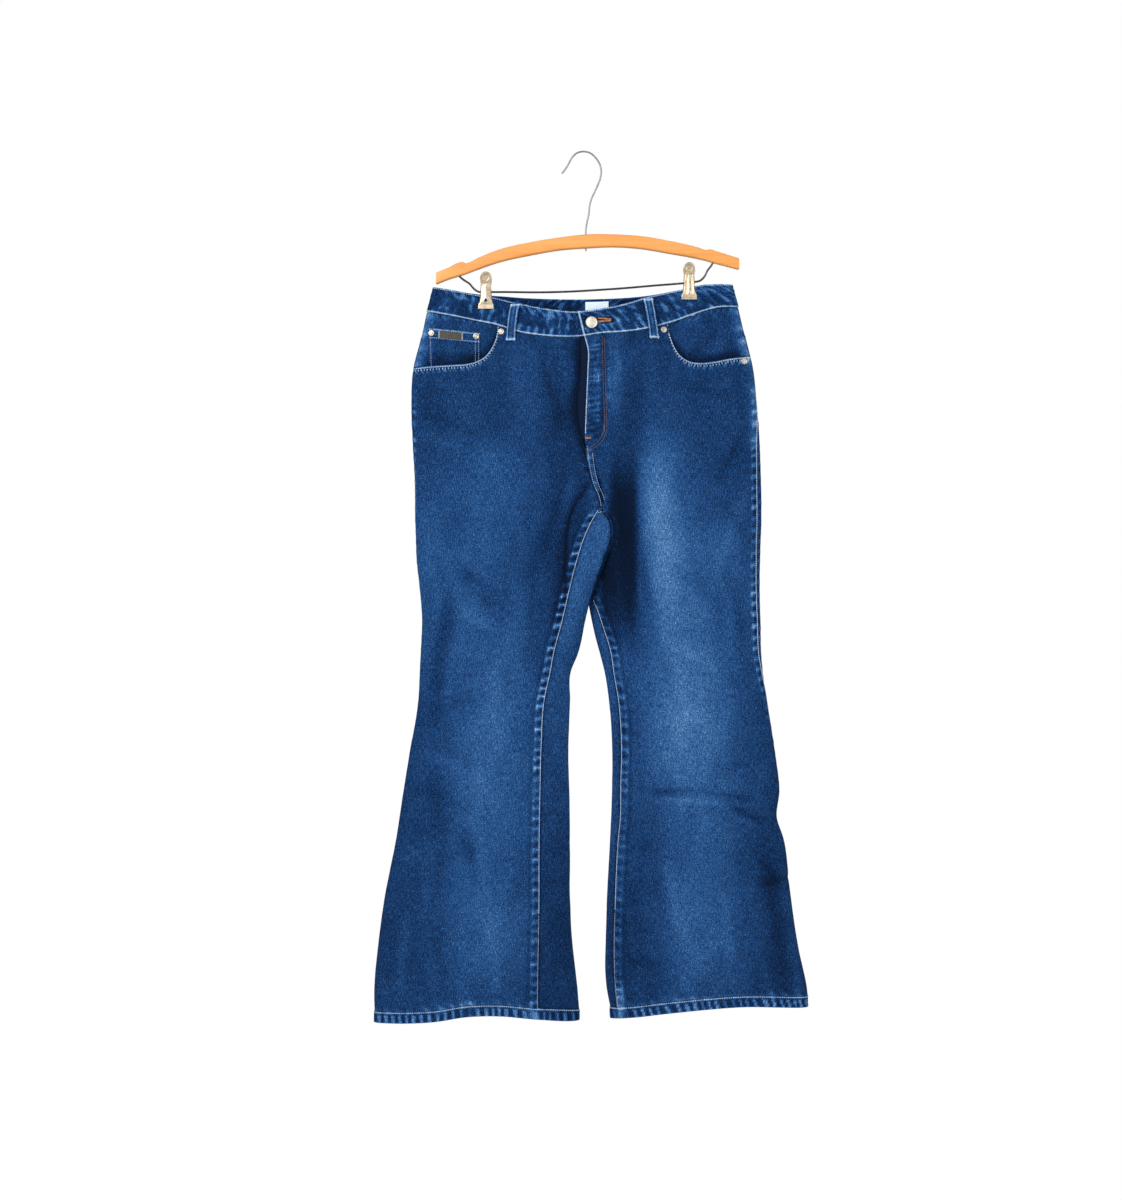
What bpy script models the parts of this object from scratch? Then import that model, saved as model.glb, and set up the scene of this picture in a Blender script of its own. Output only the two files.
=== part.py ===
"""Five-pocket flared jeans, hung by the waistband from a wooden hanger with two spring clips.

The jeans are built as they are sewn: each panel is a wall of cloth over one smooth body, read
from short tables of widths and depths. Every table is in millimetres, with +X to the wearer's
left, +Y to the back and "drop" measured down from the underside of the hook.
"""

import bmesh
import bpy
import numpy as np

MM = 0.001

# Cloth and seams, in millimetres.
DENIM = 1.3
WAISTBAND_CLOTH = 2.4
HEM_CLOTH = 2.6
THIN_CLOTH = 1.0
SEAM_GAP = 0.3
HEM_HEIGHT = 16.5

# Depths of the garment's landmarks below the hook.
POCKET_ZONE = 360.0
CROTCH = 509.0
LEG_IS_ROUND = 700.0
CREST = 0.8
FOLD_ROUND = 0.05
NORMAL_STEP = 0.004
LEG_LEAN = 8.0

# The trouser clips' places along the bar, and how wide a stretch of waistband each gathers.
CLIPS = {"right": -138.7, "left": 151.6}
PINCH_WIDTH = 40.0
PINCH_HALF_DEPTH = 1.7


class Table:
    """A short table of named columns, read at any key of its first column along smooth curves."""

    def __init__(self, columns, *rows):
        self.columns = columns.split()
        self.rows = np.array(rows, float)

    def at(self, column, key):
        keys = self.rows[:, 0]
        values = self.rows[:, self.columns.index(column)]
        slopes = np.gradient(values, keys)
        key = np.clip(key, keys[0], keys[-1])
        i = np.clip(np.searchsorted(keys, key, side="right") - 1, 0, len(keys) - 2)
        step = keys[i + 1] - keys[i]
        t = (key - keys[i]) / step
        return (
            (2 * t**3 - 3 * t**2 + 1) * values[i]
            + (t**3 - 2 * t**2 + t) * step * slopes[i]
            + (3 * t**2 - 2 * t**3) * values[i + 1]
            + (t**3 - t**2) * step * slopes[i + 1]
        )


# Where the cloth folds at the outer side, where each leg folds inside, and where the inseam lies.
# The outseam is given as a place round the front wall from the outer fold, and behind it if < 0.
RIGHT = Table(
    "drop edge fold inseam outseam",
    (189, -213, 24, 24, 0),
    (212, -219, 24, 24, 0),
    (229, -223, 24, 24, 0),
    (269, -232, 24, 24, 0),
    (309, -242, 24, 24, 0),
    (355, -245, 24, 24, 0),
    (412, -243, 24, 24, -0.04),
    (462, -240, 24, 24, -0.08),
    (509, -239, 24, 24, -0.1),
    (526, -239, 36, 14, -0.1),
    (552, -238, 39, 2, -0.1),
    (583, -237, 29, -8, -0.1),
    (626, -233, 14, -19, -0.1),
    (669, -230, 3, -29, -0.1),
    (719, -231, -9, -42, -0.1),
    (741, -232, -18, -46, -0.1),
    (784, -235, -20, -55, -0.1),
    (848, -246, -22, -59, -0.1),
    (927, -259, -20, -61, -0.1),
    (998, -270, -19, -62, -0.1),
    (1062, -283, -19, -62, -0.1),
    (1127, -292, -16, -63, -0.1),
    (1191, -297, -9, -64, -0.1),
    (1243, -297, -5, -64, -0.1),
)
LEFT = Table(
    "drop edge fold inseam outseam",
    (189, 213, 24, 24, 0),
    (212, 219, 24, 24, 0),
    (229, 223, 24, 24, 0),
    (269, 233, 24, 24, 0),
    (309, 242.5, 24, 24, 0),
    (355, 247.5, 24, 24, 0),
    (412, 252, 24, 24, 0.1),
    (462, 254, 24, 24, 0.13),
    (509, 255, 24, 24, 0.14),
    (526, 255, 17, 22, 0.14),
    (552, 254, 5, 17, 0.13),
    (583, 253, 3, 13, 0.11),
    (626, 252, 4, 12, 0.09),
    (669, 253, 12, 25, 0.08),
    (719, 254, 25, 40, 0.07),
    (741, 256, 31, 43, 0.05),
    (784, 262, 38, 50, -0.01),
    (848, 272, 42, 54, -0.08),
    (912, 280, 42, 53, -0.1),
    (952, 277, 41, 52.5, -0.1),
    (977, 285, 40, 50, -0.1),
    (1062, 296, 35, 45.5, -0.1),
    (1127, 305, 33, 43.5, -0.1),
    (1191, 319, 34, 45.5, -0.1),
    (1222, 323, 40, 49, -0.1),
)
# The middle of the body above the crotch, and how far the cloth stands off to each side.
BODY = Table(
    "drop front_middle back_middle front_depth back_depth",
    (189, -9, 20, 13, 8),
    (229, -6, 20, 15, 10),
    (269, 1, 20, 16, 12),
    (309, 6, 20, 17, 15),
    (355, 7, 20, 18, 18),
    (412, 6, 21, 20, 20),
    (462, 16, 22, 21, 21),
    (509, 24, 24, 21, 21),
    (600, 24, 24, 20, 20),
    (700, 24, 24, 18, 18),
    (850, 24, 24, 19, 19),
    (1000, 24, 24, 23, 23),
    (1130, 24, 24, 26, 26),
    (1243, 24, 24, 28, 28),
)
FRONT_TOP = Table(
    "x drop",
    (-214, 193), (-180, 199), (-149, 204), (-127, 207.5), (-89, 218), (-61, 224), (-6, 229),
    (27, 225), (57, 219), (87, 210), (137, 197), (167, 190), (213, 189),
)
FRONT_SEAM = Table(
    "x drop",
    (-225, 228), (-189, 235), (-152, 242), (-127, 247), (-87, 260), (-61, 264), (0, 265),
    (27, 261), (57, 259), (87, 255), (127, 244), (157, 233), (187, 224), (221, 222),
)
BACK_TOP = Table(
    "x drop",
    (-214, 193), (-139, 203.8), (-90, 206.8), (20, 208.5), (82, 205), (147, 195.5), (184, 190),
    (213, 189),
)
BACK_SEAM = Table(
    "x drop",
    (-225, 228), (-139, 239), (-90, 245), (20, 247), (82, 243.5), (147, 234), (184, 228),
    (221, 222),
)
YOKE_SEAM = Table("x drop", (-232, 264), (-139, 296), (20, 326), (160, 294), (234, 260))
HEM_EDGE = Table(
    "x drop",
    (-297, 1243), (-204, 1237.5), (-169, 1231.5), (-119, 1230), (-69, 1235), (-6, 1240),
    (40, 1237), (82, 1232), (110, 1228), (167, 1221.5), (225, 1217.5), (323, 1221),
)
# The mouth of each front pocket, from the waistband seam out to the side.
RIGHT_MOUTH = Table(
    "order x drop",
    (0, -121, 249), (1, -122, 260), (2, -125, 271), (3, -131, 283), (4, -139, 293),
    (5, -151, 300), (6, -166, 304), (7, -192, 305.5), (8, -220, 307), (9, -243, 309),
)
LEFT_MOUTH = Table(
    "order x drop",
    (0, 120, 246.5), (1, 121, 256), (2, 124, 266), (3, 129, 279), (4, 137, 291),
    (5, 148, 299), (6, 163, 302.5), (7, 184, 301), (8, 210, 296), (9, 239.5, 292),
)
# The edge of each front panel at the fly and down the front rise.
RIGHT_RISE = Table(
    "drop x",
    (250, -5), (268, -4), (400, -4), (418, 1), (429, 4), (460, 8.5), (478, 13.5), (493, 20),
    (509, 24),
)
LEFT_RISE = Table(
    "drop x",
    (250, 0), (264, 1.5), (285, 6.5), (310, 6), (347, 4.5), (383, 3), (409, 2.5), (429, 4.5),
    (460, 9), (478, 14), (493, 20.5), (509, 24),
)
# Soft folds: a line from (x1, drop1) to (x2, drop2), how wide it is and how far it stands out.
FOLD_COLUMNS = ("wall", "x1", "drop1", "x2", "drop2", "width", "rise")
FOLDS = (
    ("front", 10, 460, -27, 585, 11, -3.5),
    ("front", 60, 430, 84, 700, 22, -4.5),
    ("front", 104, 440, 122, 690, 20, 3.0),
    ("front", -174, 600, -118, 655, 12, -2.5),
    ("front", -190, 650, -208, 806, 14, -3.0),
    ("front", 95, 912, 240, 924, 9, -2.5),
    ("front", 200, 932, 250, 955, 8, -2.5),
    ("front", 255, 1045, 300, 1033, 9, -2.5),
    ("front", -172, 960, -160, 1010, 16, -2.5),
    ("front", 190, 500, 235, 545, 13, -2.5),
    ("front", -96, 285, -60, 380, 24, 2.5),
    ("front", 70, 280, 52, 370, 22, 2.5),
    ("front", -105, 740, -115, 1120, 38, 5.0),
    ("front", 165, 760, 185, 1120, 38, 5.0),
    ("front", -205, 900, -235, 1180, 24, -4.0),
    ("front", 95, 960, 100, 1190, 26, -4.0),
    ("back", -150, 560, -90, 610, 16, -3.5),
    ("back", 180, 560, 110, 610, 16, -3.5),
    ("back", -60, 520, -110, 590, 14, -3.0),
    ("back", 90, 520, 140, 590, 14, -3.0),
    ("back", -110, 740, -120, 1150, 36, 4.0),
    ("back", 165, 760, 185, 1150, 36, 4.0),
)


def smooth(value):
    value = np.clip(value, 0, 1)
    return value * value * (3 - 2 * value)


def leg_share(drop):
    """How far a section has turned from half a body, 0, to a leg that closes inside, 1."""
    below = np.clip((drop - CROTCH) / (LEG_IS_ROUND - CROTCH), 0, 1)
    return np.sin(np.pi / 2 * below**1.25)


def profile(place, drop):
    """(share of the width, share of the depth) at a place round one wall: 0 outer fold, 1 inner."""
    leg = leg_share(drop)
    angle = np.pi * np.abs(place)
    width = (1 - leg) * (1 - np.cos(angle / 2)) + leg * (1 - np.cos(angle)) / 2
    depth = (1 - leg) * np.sin(angle / 2) + leg * np.sin(angle)
    return width, np.sign(place) * np.maximum(depth, 0) ** CREST


def place_of(share, drop):
    """The place round one wall that lies a share of the width in from the outer fold."""
    low = np.zeros_like(share)
    high = low + 1 + 0.5 * (1 - leg_share(drop))
    for _ in range(32):
        middle = (low + high) / 2
        below = profile(middle, drop)[0] < np.abs(share)
        low = np.where(below, middle, low)
        high = np.where(below, high, middle)
    return np.sign(share) * (low + high) / 2


class Half:
    """One side of the jeans: half of the body above the crotch, and one leg below it."""

    def __init__(self, name, sign, sizes, rise, mouth):
        self.name = name
        self.sign = sign
        self.sizes = sizes
        self.rise = rise
        self.mouth = mouth

    def parting(self, drop):
        """Half the clearance between the two sides."""
        at_seam = (SEAM_GAP + DENIM + 0.6) / 2
        return at_seam * smooth((drop - CROTCH + 20) / 20) * (1 - smooth((drop - 640) / 60))

    def inner_end(self, wall, drop):
        """x where the wall ends inside: the body's middle, or the corner of the leg's inner fold."""
        fold = self.sizes.at("fold", drop)
        overlap = RIGHT.at("fold", drop) - LEFT.at("fold", drop)
        slant = np.maximum(overlap, 0) + 2.5 * smooth(overlap / 10)
        far_wall = "back" if self.sign < 0 else "front"
        leg_end = fold + self.sign * np.where(drop > CROTCH, slant, 0) * (wall == far_wall)
        body_end = BODY.at(wall + "_middle", drop)
        return np.where(drop < CROTCH, body_end, leg_end + self.sign * self.parting(drop))

    def share_of(self, wall, x, drop):
        edge = self.sizes.at("edge", drop)
        return (x - edge) / (self.inner_end(wall, drop) - edge)

    def point(self, wall, place, drop):
        """(x, y) on the middle of the cloth. A place under 0 has gone round onto the other wall."""
        edge = self.sizes.at("edge", drop)
        width, depth = profile(place, drop)
        other = "back" if wall == "front" else "front"
        near = place >= 0
        inner_end = np.where(near, self.inner_end(wall, drop), self.inner_end(other, drop))
        reach = np.where(near, BODY.at(wall + "_depth", drop), BODY.at(other + "_depth", drop))
        x = edge + (inner_end - edge) * width
        facing = -1 if wall == "front" else 1
        y = facing * reach * depth
        lean = LEG_LEAN * np.sin(np.pi * np.clip((drop - CROTCH) / 250, 0, 1)) ** 2
        y = y + self.sign * lean * smooth((place - 0.45) / 0.55)
        held = 1 - smooth((drop - 222) / 65)
        pinch = held * sum(np.exp(-(((x - clip) / PINCH_WIDTH) ** 4)) for clip in CLIPS.values())
        return x, y * (1 - pinch) + facing * PINCH_HALF_DEPTH * pinch

    def outseam_place(self, wall, drop):
        place = self.sizes.at("outseam", drop)
        return place if wall == "front" else -place

    def outseam_normal(self, drop):
        """The level direction out of the cloth at the outseam, shared by both of its panels."""
        place = self.outseam_place("front", drop)
        ahead = np.array(self.point("front", place + FOLD_ROUND, drop))
        behind = np.array(self.point("front", place - FOLD_ROUND, drop))
        along = ahead - behind
        normal = -self.sign * np.stack([along[1], -along[0], 0 * drop], axis=-1)
        return unit(normal)

    def inseam_place(self, drop):
        share = self.share_of("front", self.sizes.at("inseam", drop), drop)
        below = place_of(np.minimum(share, 1), drop)
        above = place_of(self.share_of("front", self.rise.at("x", drop), drop), drop)
        return np.where(drop < CROTCH, above, np.where(drop < CROTCH + 0.01, 1.0, below))

    def inner_wrap(self, share, drop):
        """(x, y) from the inseam, 0, round the leg's inner fold to the corner of the back wall, 1."""
        seam = self.inseam_place(drop)
        front = np.array(self.point("front", np.ones_like(drop), drop))
        back = np.array(self.point("back", np.ones_like(drop), drop))
        inseam = np.array(self.point("front", seam, drop))
        on_front = np.hypot(*(front - inseam))
        turn = on_front / (on_front + np.hypot(*(back - front)) + 1e-6)
        place = seam + (1 - seam) * np.clip(share / np.maximum(turn, 1e-6), 0, 1)
        across = np.clip((share - turn) / np.maximum(1 - turn, 1e-6), 0, 1)
        start = np.array(self.point("front", place, drop))
        path = np.where(share <= turn, start, front + (back - front) * across)
        return path[0], path[1], np.clip(1 - share / np.maximum(turn, 1e-6), 0, 1)


SIDES = (
    Half("right", -1, RIGHT, RIGHT_RISE, RIGHT_MOUTH),
    Half("left", 1, LEFT, LEFT_RISE, LEFT_MOUTH),
)


def grid_from(x, y, drop):
    return np.stack([x, y, -drop], axis=-1)


def normals_of(grid, sign, closed=False):
    """Level outward normals of a grid of points: rows run down, columns round the side."""
    if closed:
        ahead = np.roll(grid, -1, axis=1) - grid
        behind = grid - np.roll(grid, 1, axis=1)
    else:
        step = np.diff(grid, axis=1)
        ahead = np.concatenate([step, step[:, -1:]], axis=1)
        behind = np.concatenate([step[:, :1], step], axis=1)
    along = unit(ahead) + unit(behind)
    down = np.gradient(grid, axis=0)
    normal = sign * np.cross(along, down)
    normal[..., 2] = 0
    return unit(normal)


def unit(vectors):
    length = np.linalg.norm(vectors, axis=-1, keepdims=True)
    return vectors / np.maximum(length, 1e-9)


def relief(half, wall, x, drop):
    """How far the cloth's folds stand out at a place on one wall, dying out at the leg's edges."""
    total = np.zeros_like(x)
    from_edge = np.abs(x - half.sizes.at("edge", drop))
    from_fold = np.abs(x - half.inner_end("front", drop))
    near_fold = np.where(drop < CROTCH, 1, smooth((from_fold - 2) / 10))
    for row in FOLDS:
        fold = dict(zip(FOLD_COLUMNS, row))
        if fold["wall"] != wall:
            continue
        along = np.array([fold["x2"] - fold["x1"], fold["drop2"] - fold["drop1"]], float)
        length = np.hypot(*along)
        dx = x - fold["x1"]
        dz = drop - fold["drop1"]
        share = (dx * along[0] + dz * along[1]) / length**2
        aside = (dx * along[1] - dz * along[0]) / length
        fade = smooth((share + 0.25) / 0.5) * smooth((1.25 - share) / 0.5)
        total += fold["rise"] * fade * np.exp(-((aside / fold["width"]) ** 2))
    return total * smooth((from_edge - 7) / 12) * near_fold


def drawn_in(grid, gap, edges):
    """The grid with the named edges drawn in by half a seam's gap."""
    out = grid.copy()
    ends = {
        "start": (np.s_[:, 0], np.s_[:, 1]),
        "end": (np.s_[:, -1], np.s_[:, -2]),
        "top": (np.s_[0], np.s_[1]),
        "foot": (np.s_[-1], np.s_[-2]),
    }
    for name in edges.split():
        edge, inside = ends[name]
        out[edge] = grid[edge] + unit(grid[inside] - grid[edge]) * gap
    return out


def new_material(name, colour, roughness, metallic=0.0):
    material = bpy.data.materials.new(name)
    material.use_nodes = True
    shader = material.node_tree.nodes["Principled BSDF"]
    shader.inputs["Base Color"].default_value = (*colour, 1.0)
    shader.inputs["Roughness"].default_value = roughness
    shader.inputs["Metallic"].default_value = metallic
    material.diffuse_color = (*colour, 1.0)
    return material


def new_object(name, points, faces, finish):
    """One closed solid from points in millimetres."""
    mesh = bpy.data.meshes.new(name)
    mesh.from_pydata([tuple(p) for p in np.asarray(points) * MM], [], faces)
    work = bmesh.new()
    work.from_mesh(mesh)
    bmesh.ops.recalc_face_normals(work, faces=work.faces)
    work.to_mesh(mesh)
    work.free()
    mesh.materials.append(new_material(name, *finish))
    obj = bpy.data.objects.new(name, mesh)
    bpy.context.scene.collection.objects.link(obj)
    return obj


def cloth_wall(name, outer, inner, finish, present=None, closed=False):
    """A wall between two grids of points, closed along every free edge."""
    rows, columns = outer.shape[:2]
    if present is None:
        present = np.ones((rows, columns), bool)
    number = np.full((rows, columns), -1)
    number[present] = np.arange(present.sum())
    count = int(present.sum())
    faces = []
    for i in range(rows - 1):
        for j in range(columns if closed else columns - 1):
            k = (j + 1) % columns
            corners = (number[i, j], number[i, k], number[i + 1, k], number[i + 1, j])
            if min(corners) >= 0:
                faces.append(tuple(int(c) for c in corners))
    edges = {(a, b) for face in faces for a, b in zip(face, face[1:] + face[:1])}
    rims = [(b, a, a + count, b + count) for a, b in sorted(edges) if (b, a) not in edges]
    backs = [tuple(c + count for c in reversed(face)) for face in faces]
    points = np.concatenate([outer[present], inner[present]])
    return new_object(name, points, faces + backs + rims, finish)


def layered(name, grid, normal, thickness, finish, offset=0.0, **options):
    """A wall of one thickness, its middle moved out from the grid by an offset."""
    offset = np.broadcast_to(np.asarray(offset, float), grid.shape[:2])[..., None]
    outer = grid + normal * (offset + thickness / 2)
    inner = grid + normal * (offset - thickness / 2)
    return cloth_wall(name, outer, inner, finish, **options)


DENIM_FINISH = ((0.026, 0.091, 0.262), 0.85)
FACING_FINISH = ((0.02, 0.07, 0.21), 0.85)
TAPE_FINISH = ((0.01, 0.02, 0.06), 0.8)
LABEL_FINISH = ((0.72, 0.80, 0.88), 0.8)
PLATE_FINISH = ((0.05, 0.05, 0.07), 0.5)
NICKEL_FINISH = ((0.62, 0.60, 0.56), 0.3, 1.0)
CLIP_FINISH = ((0.70, 0.58, 0.42), 0.3, 1.0)
BAR_FINISH = ((0.09, 0.08, 0.10), 0.35, 1.0)
HOOK_FINISH = ((0.35, 0.35, 0.37), 0.3, 1.0)
WOOD_FINISH = ((0.98, 0.43, 0.11), 0.5)

# Rows of the panels: from the waistband or pocket to the pocket zone, then at these drops.
ZONE_ROWS = 4
BODY_DROPS = (385, 412, 438, 462, 482, 497, 509)
LEG_DROPS = (520, 534, 552, 575, 602, 632, 664, 698, 732, 756, 792, 832, 876, 922, 952, 985, 1035,
             1085, 1135, 1180)
COLUMN_SPREAD = 1.6
STEEP_SHARE = 0.3
SEAM_COLUMNS = 4
MOUTH_COLUMNS = 10
WRAP_COLUMNS = 4
BACK_COLUMNS = 14

# Levels at which places are read: the waistband's top, the yoke, the fly's top and the hem.
BAND_LEVEL = 229.0
YOKE_LEVEL = 250.0
FLY_TOP = 266.0
HEM_LEVEL = 1225.0


def top_line(half):
    """(x, drop) along a front panel's top: the pocket mouth from the side in, then the seam."""
    order = np.linspace(half.mouth.rows[-1, 0], 0, MOUTH_COLUMNS * 8 + 1)
    mouth = np.stack([half.mouth.at("x", order), half.mouth.at("drop", order)], axis=1)
    steps = np.abs(np.diff(mouth, axis=0)) * (1, STEEP_SHARE)
    run = np.concatenate([[0], np.cumsum(steps.sum(axis=1))])
    even = np.linspace(0, run[-1], MOUTH_COLUMNS + 1)
    mouth = np.stack([np.interp(even, run, mouth[:, i]) for i in (0, 1)], axis=1)
    x = np.linspace(mouth[-1, 0], half.rise.at("x", FLY_TOP), SEAM_COLUMNS + 1)[1:]
    seam = np.stack([x, FRONT_SEAM.at("drop", x) + SEAM_GAP / 2], axis=1)
    return np.concatenate([mouth, seam])


def lower_drops(x_of_column, count):
    """Drops of the rows below the pocket zone, the last along the hem."""
    hem = HEM_EDGE.at("drop", x_of_column) - HEM_HEIGHT
    level = np.array(BODY_DROPS + LEG_DROPS, float)[:, None] * np.ones((1, count))
    return np.concatenate([level, hem[None]])


def drop_on(line, half, wall, place):
    """The drops at which columns of fixed place cross a seam line above the crotch."""
    share = profile(place, YOKE_LEVEL)[0]
    drop = np.full_like(share, YOKE_LEVEL)
    for _ in range(5):
        edge = half.sizes.at("edge", drop)
        drop = line.at("drop", edge + (half.inner_end(wall, drop) - edge) * share)
    return drop


def back_places(half, drop):
    """Places of the back panel's columns, from the middle or inner fold out to the outseam."""
    start = half.outseam_place("back", drop)
    return start + np.linspace(1, 0, BACK_COLUMNS + 1) * (1 - start)


def hem_places(half, wall, count):
    """x of each column at the hem, for reading the hem's edge."""
    drop = np.full(count, HEM_LEVEL)
    start = half.outseam_place(wall, drop)
    end = half.inseam_place(drop) if wall == "front" else 1.0
    place = start + np.linspace(0, 1, count) * (end - start)
    return half.point(wall, place, drop)[0]


def front_grid(half):
    """The front panel's middle, from the outseam in to the rise and the inseam."""
    top = top_line(half)
    count = len(top)
    columns = np.linspace(0, 1, count)
    top_place = place_of(half.share_of("front", top[:, 0], top[:, 1]), top[:, 1])
    zone = np.full(count, POCKET_ZONE)
    start = half.outseam_place("front", zone)
    zone_place = start + columns * (half.inseam_place(zone) - start)
    top_place[0] = half.outseam_place("front", top[:1, 1])[0]
    ease = np.linspace(0, 1, ZONE_ROWS + 1)[:, None]
    upper_drop = top[:, 1] + (zone - top[:, 1]) * ease
    # Columns leave the curved mouth straight down before they spread, so no cell is squashed.
    upper_place = top_place + (zone_place - top_place) * ease**COLUMN_SPREAD
    lower = lower_drops(hem_places(half, "front", count), count)
    start = half.outseam_place("front", lower)
    lower_place = start + columns * (half.inseam_place(lower) - start)
    drop = np.concatenate([upper_drop, lower])
    place = np.concatenate([upper_place, lower_place])
    place[:, 0] = half.outseam_place("front", drop[:, 0])
    place[:, -1] = half.inseam_place(drop[:, -1])
    return grid_from(*half.point("front", place, drop), drop)


def back_grid(half):
    """The back panel: the inner wrap's columns, then the back wall's.

    Returns its grid, which of its points there are, and how near each wrap point is to the inseam.
    """
    zone = np.full(BACK_COLUMNS + 1, POCKET_ZONE)
    seam = drop_on(YOKE_SEAM, half, "back", back_places(half, zone))
    # Its rows at the side are the front panel's, so that both edges of the outseam bend alike.
    side = seam[-1]
    side_rows = np.linspace(half.mouth.rows[-1, 2], POCKET_ZONE, ZONE_ROWS + 1)
    ease = (np.concatenate([[side], side_rows]) - side) / (POCKET_ZONE - side)
    upper = seam + (zone - seam) * ease[:, None]
    lower = lower_drops(hem_places(half, "back", BACK_COLUMNS + 1)[::-1], BACK_COLUMNS + 1)
    drop = np.concatenate([upper, lower])
    wall = grid_from(*half.point("back", back_places(half, drop), drop), drop)
    share = np.linspace(0, 1, WRAP_COLUMNS + 1)[:-1] * np.ones((len(drop), 1))
    wrap_drop = np.maximum(drop[:, :1], CROTCH) * np.ones((1, WRAP_COLUMNS))
    fold_x = half.sizes.at("fold", wrap_drop[-1:])
    wrap_drop[-1] = HEM_EDGE.at("drop", fold_x) - HEM_HEIGHT
    wrap_x, wrap_y, on_front = half.inner_wrap(share, wrap_drop)
    wrap = grid_from(wrap_x, wrap_y, wrap_drop)
    present = np.ones((len(drop), BACK_COLUMNS + 1 + WRAP_COLUMNS), bool)
    present[:, :WRAP_COLUMNS] = (drop[:, :1] > CROTCH - 1)
    return np.concatenate([wrap, wall], axis=1), present, on_front


def with_relief(half, grid, normal, wall, strength=1.0):
    rise = relief(half, wall, grid[..., 0], -grid[..., 2]) * strength
    return grid + normal * rise[..., None]


def build_panels(half):
    """The front and back panels of one side, and the hem that finishes its leg."""
    front = front_grid(half)
    back, present, on_front = back_grid(half)
    below = -front[:, -1, 2] > CROTCH - 1
    front_normal = normals_of(front, half.sign)
    back_normal = normals_of(back, half.sign)
    ring = np.concatenate([front[below][:, :-1], back[present[:, 0]][:, :-1]], axis=1)
    ring_normal = normals_of(ring, half.sign, closed=True)
    split = front.shape[1] - 1
    front_normal[below, :-1] = ring_normal[:, :split]
    front_normal[below, -1] = ring_normal[:, split]
    back_normal[present[:, 0], :-1] = ring_normal[:, split:]
    back_normal[present[:, 0], -1] = ring_normal[:, 0]
    back_normal[~present] = 0
    front_normal[~below, -1] = (0, -1, 0)
    back_normal[~present[:, 0], WRAP_COLUMNS] = (0, 1, 0)
    front_normal[:, 0] = half.outseam_normal(-front[:, 0, 2])
    back_normal[:, -1] = half.outseam_normal(-back[:, -1, 2])
    ring_normal[:, 0] = front_normal[below, 0]
    raised = fly_lift(half, front[..., 0], -front[..., 2])
    front = with_relief(half, front, front_normal, "front")
    wrap = with_relief(
        half, back[:, :WRAP_COLUMNS], back_normal[:, :WRAP_COLUMNS], "front", strength=on_front
    )
    wall = with_relief(half, back[:, WRAP_COLUMNS:], back_normal[:, WRAP_COLUMNS:], "back")
    back = np.concatenate([wrap, wall], axis=1)
    layered(
        f"front_panel_{half.name}",
        drawn_in(front, SEAM_GAP, "start end top foot"),
        front_normal, DENIM, DENIM_FINISH, offset=raised,
    )
    back_in = drawn_in(back, SEAM_GAP / 2, "start end top foot")
    above = ~present[:, 0]
    corner = WRAP_COLUMNS
    back_in[above, corner] = back[above, corner] + unit(
        back[above, corner + 1] - back[above, corner]
    ) * (SEAM_GAP / 2)
    layered(f"back_panel_{half.name}", back_in, back_normal, DENIM, DENIM_FINISH, present=present)
    build_hem(half, ring[-1], ring_normal[-1])


def fly_lift(half, x, drop):
    """How far the lapped fly edge stands off the shield behind it."""
    if half.sign < 0:
        return 0.0
    across = 1 - smooth((x - 30) / 14)
    return 1.0 * across * (1 - smooth((drop - 405) / 30))


def build_hem(half, ring, normal):
    """The turned-up hem: a band of doubled cloth round the foot of one leg."""
    top = ring - (0, 0, SEAM_GAP)
    foot = ring.copy()
    foot[:, 2] = -HEM_EDGE.at("drop", ring[:, 0])
    grid = np.stack([top, foot])
    layered(
        f"hem_{half.name}", grid, np.stack([normal, normal]), HEM_CLOTH, DENIM_FINISH, closed=True
    )


def wall_patch(half, wall, x, drop):
    """(grid, normals) of a patch that follows one wall, from its x and drop at each point."""
    x = x + 0.0 * drop
    drop = drop + 0.0 * x
    place = place_of(half.share_of(wall, x, drop), drop)
    grid = grid_from(*half.point(wall, place, drop), drop)
    ahead = grid_from(*half.point(wall, place + NORMAL_STEP, drop), drop)
    behind = grid_from(*half.point(wall, place - NORMAL_STEP, drop), drop)
    along = unit(ahead - behind)
    turn = half.sign * (1 if wall == "front" else -1)
    normal = np.stack([-along[..., 1] * turn, along[..., 0] * turn, 0 * drop], axis=-1)
    return with_relief(half, grid, normal, wall), normal


WAIST_COLUMNS = 17
UNDERLAP_END = 38.0
UNDERLAP_COLUMNS = 8
UNDERLAP_OFFSET = -2.9
TAB_TOP = -8.0
TAB_FOOT = 0.7


def waist_run(half, wall, count):
    """x at even places from the outer fold in to the middle of one wall."""
    drop = np.full(count, BAND_LEVEL)
    place = np.linspace(0, 1, count)
    return half.point(wall, place, drop)[0]


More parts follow.
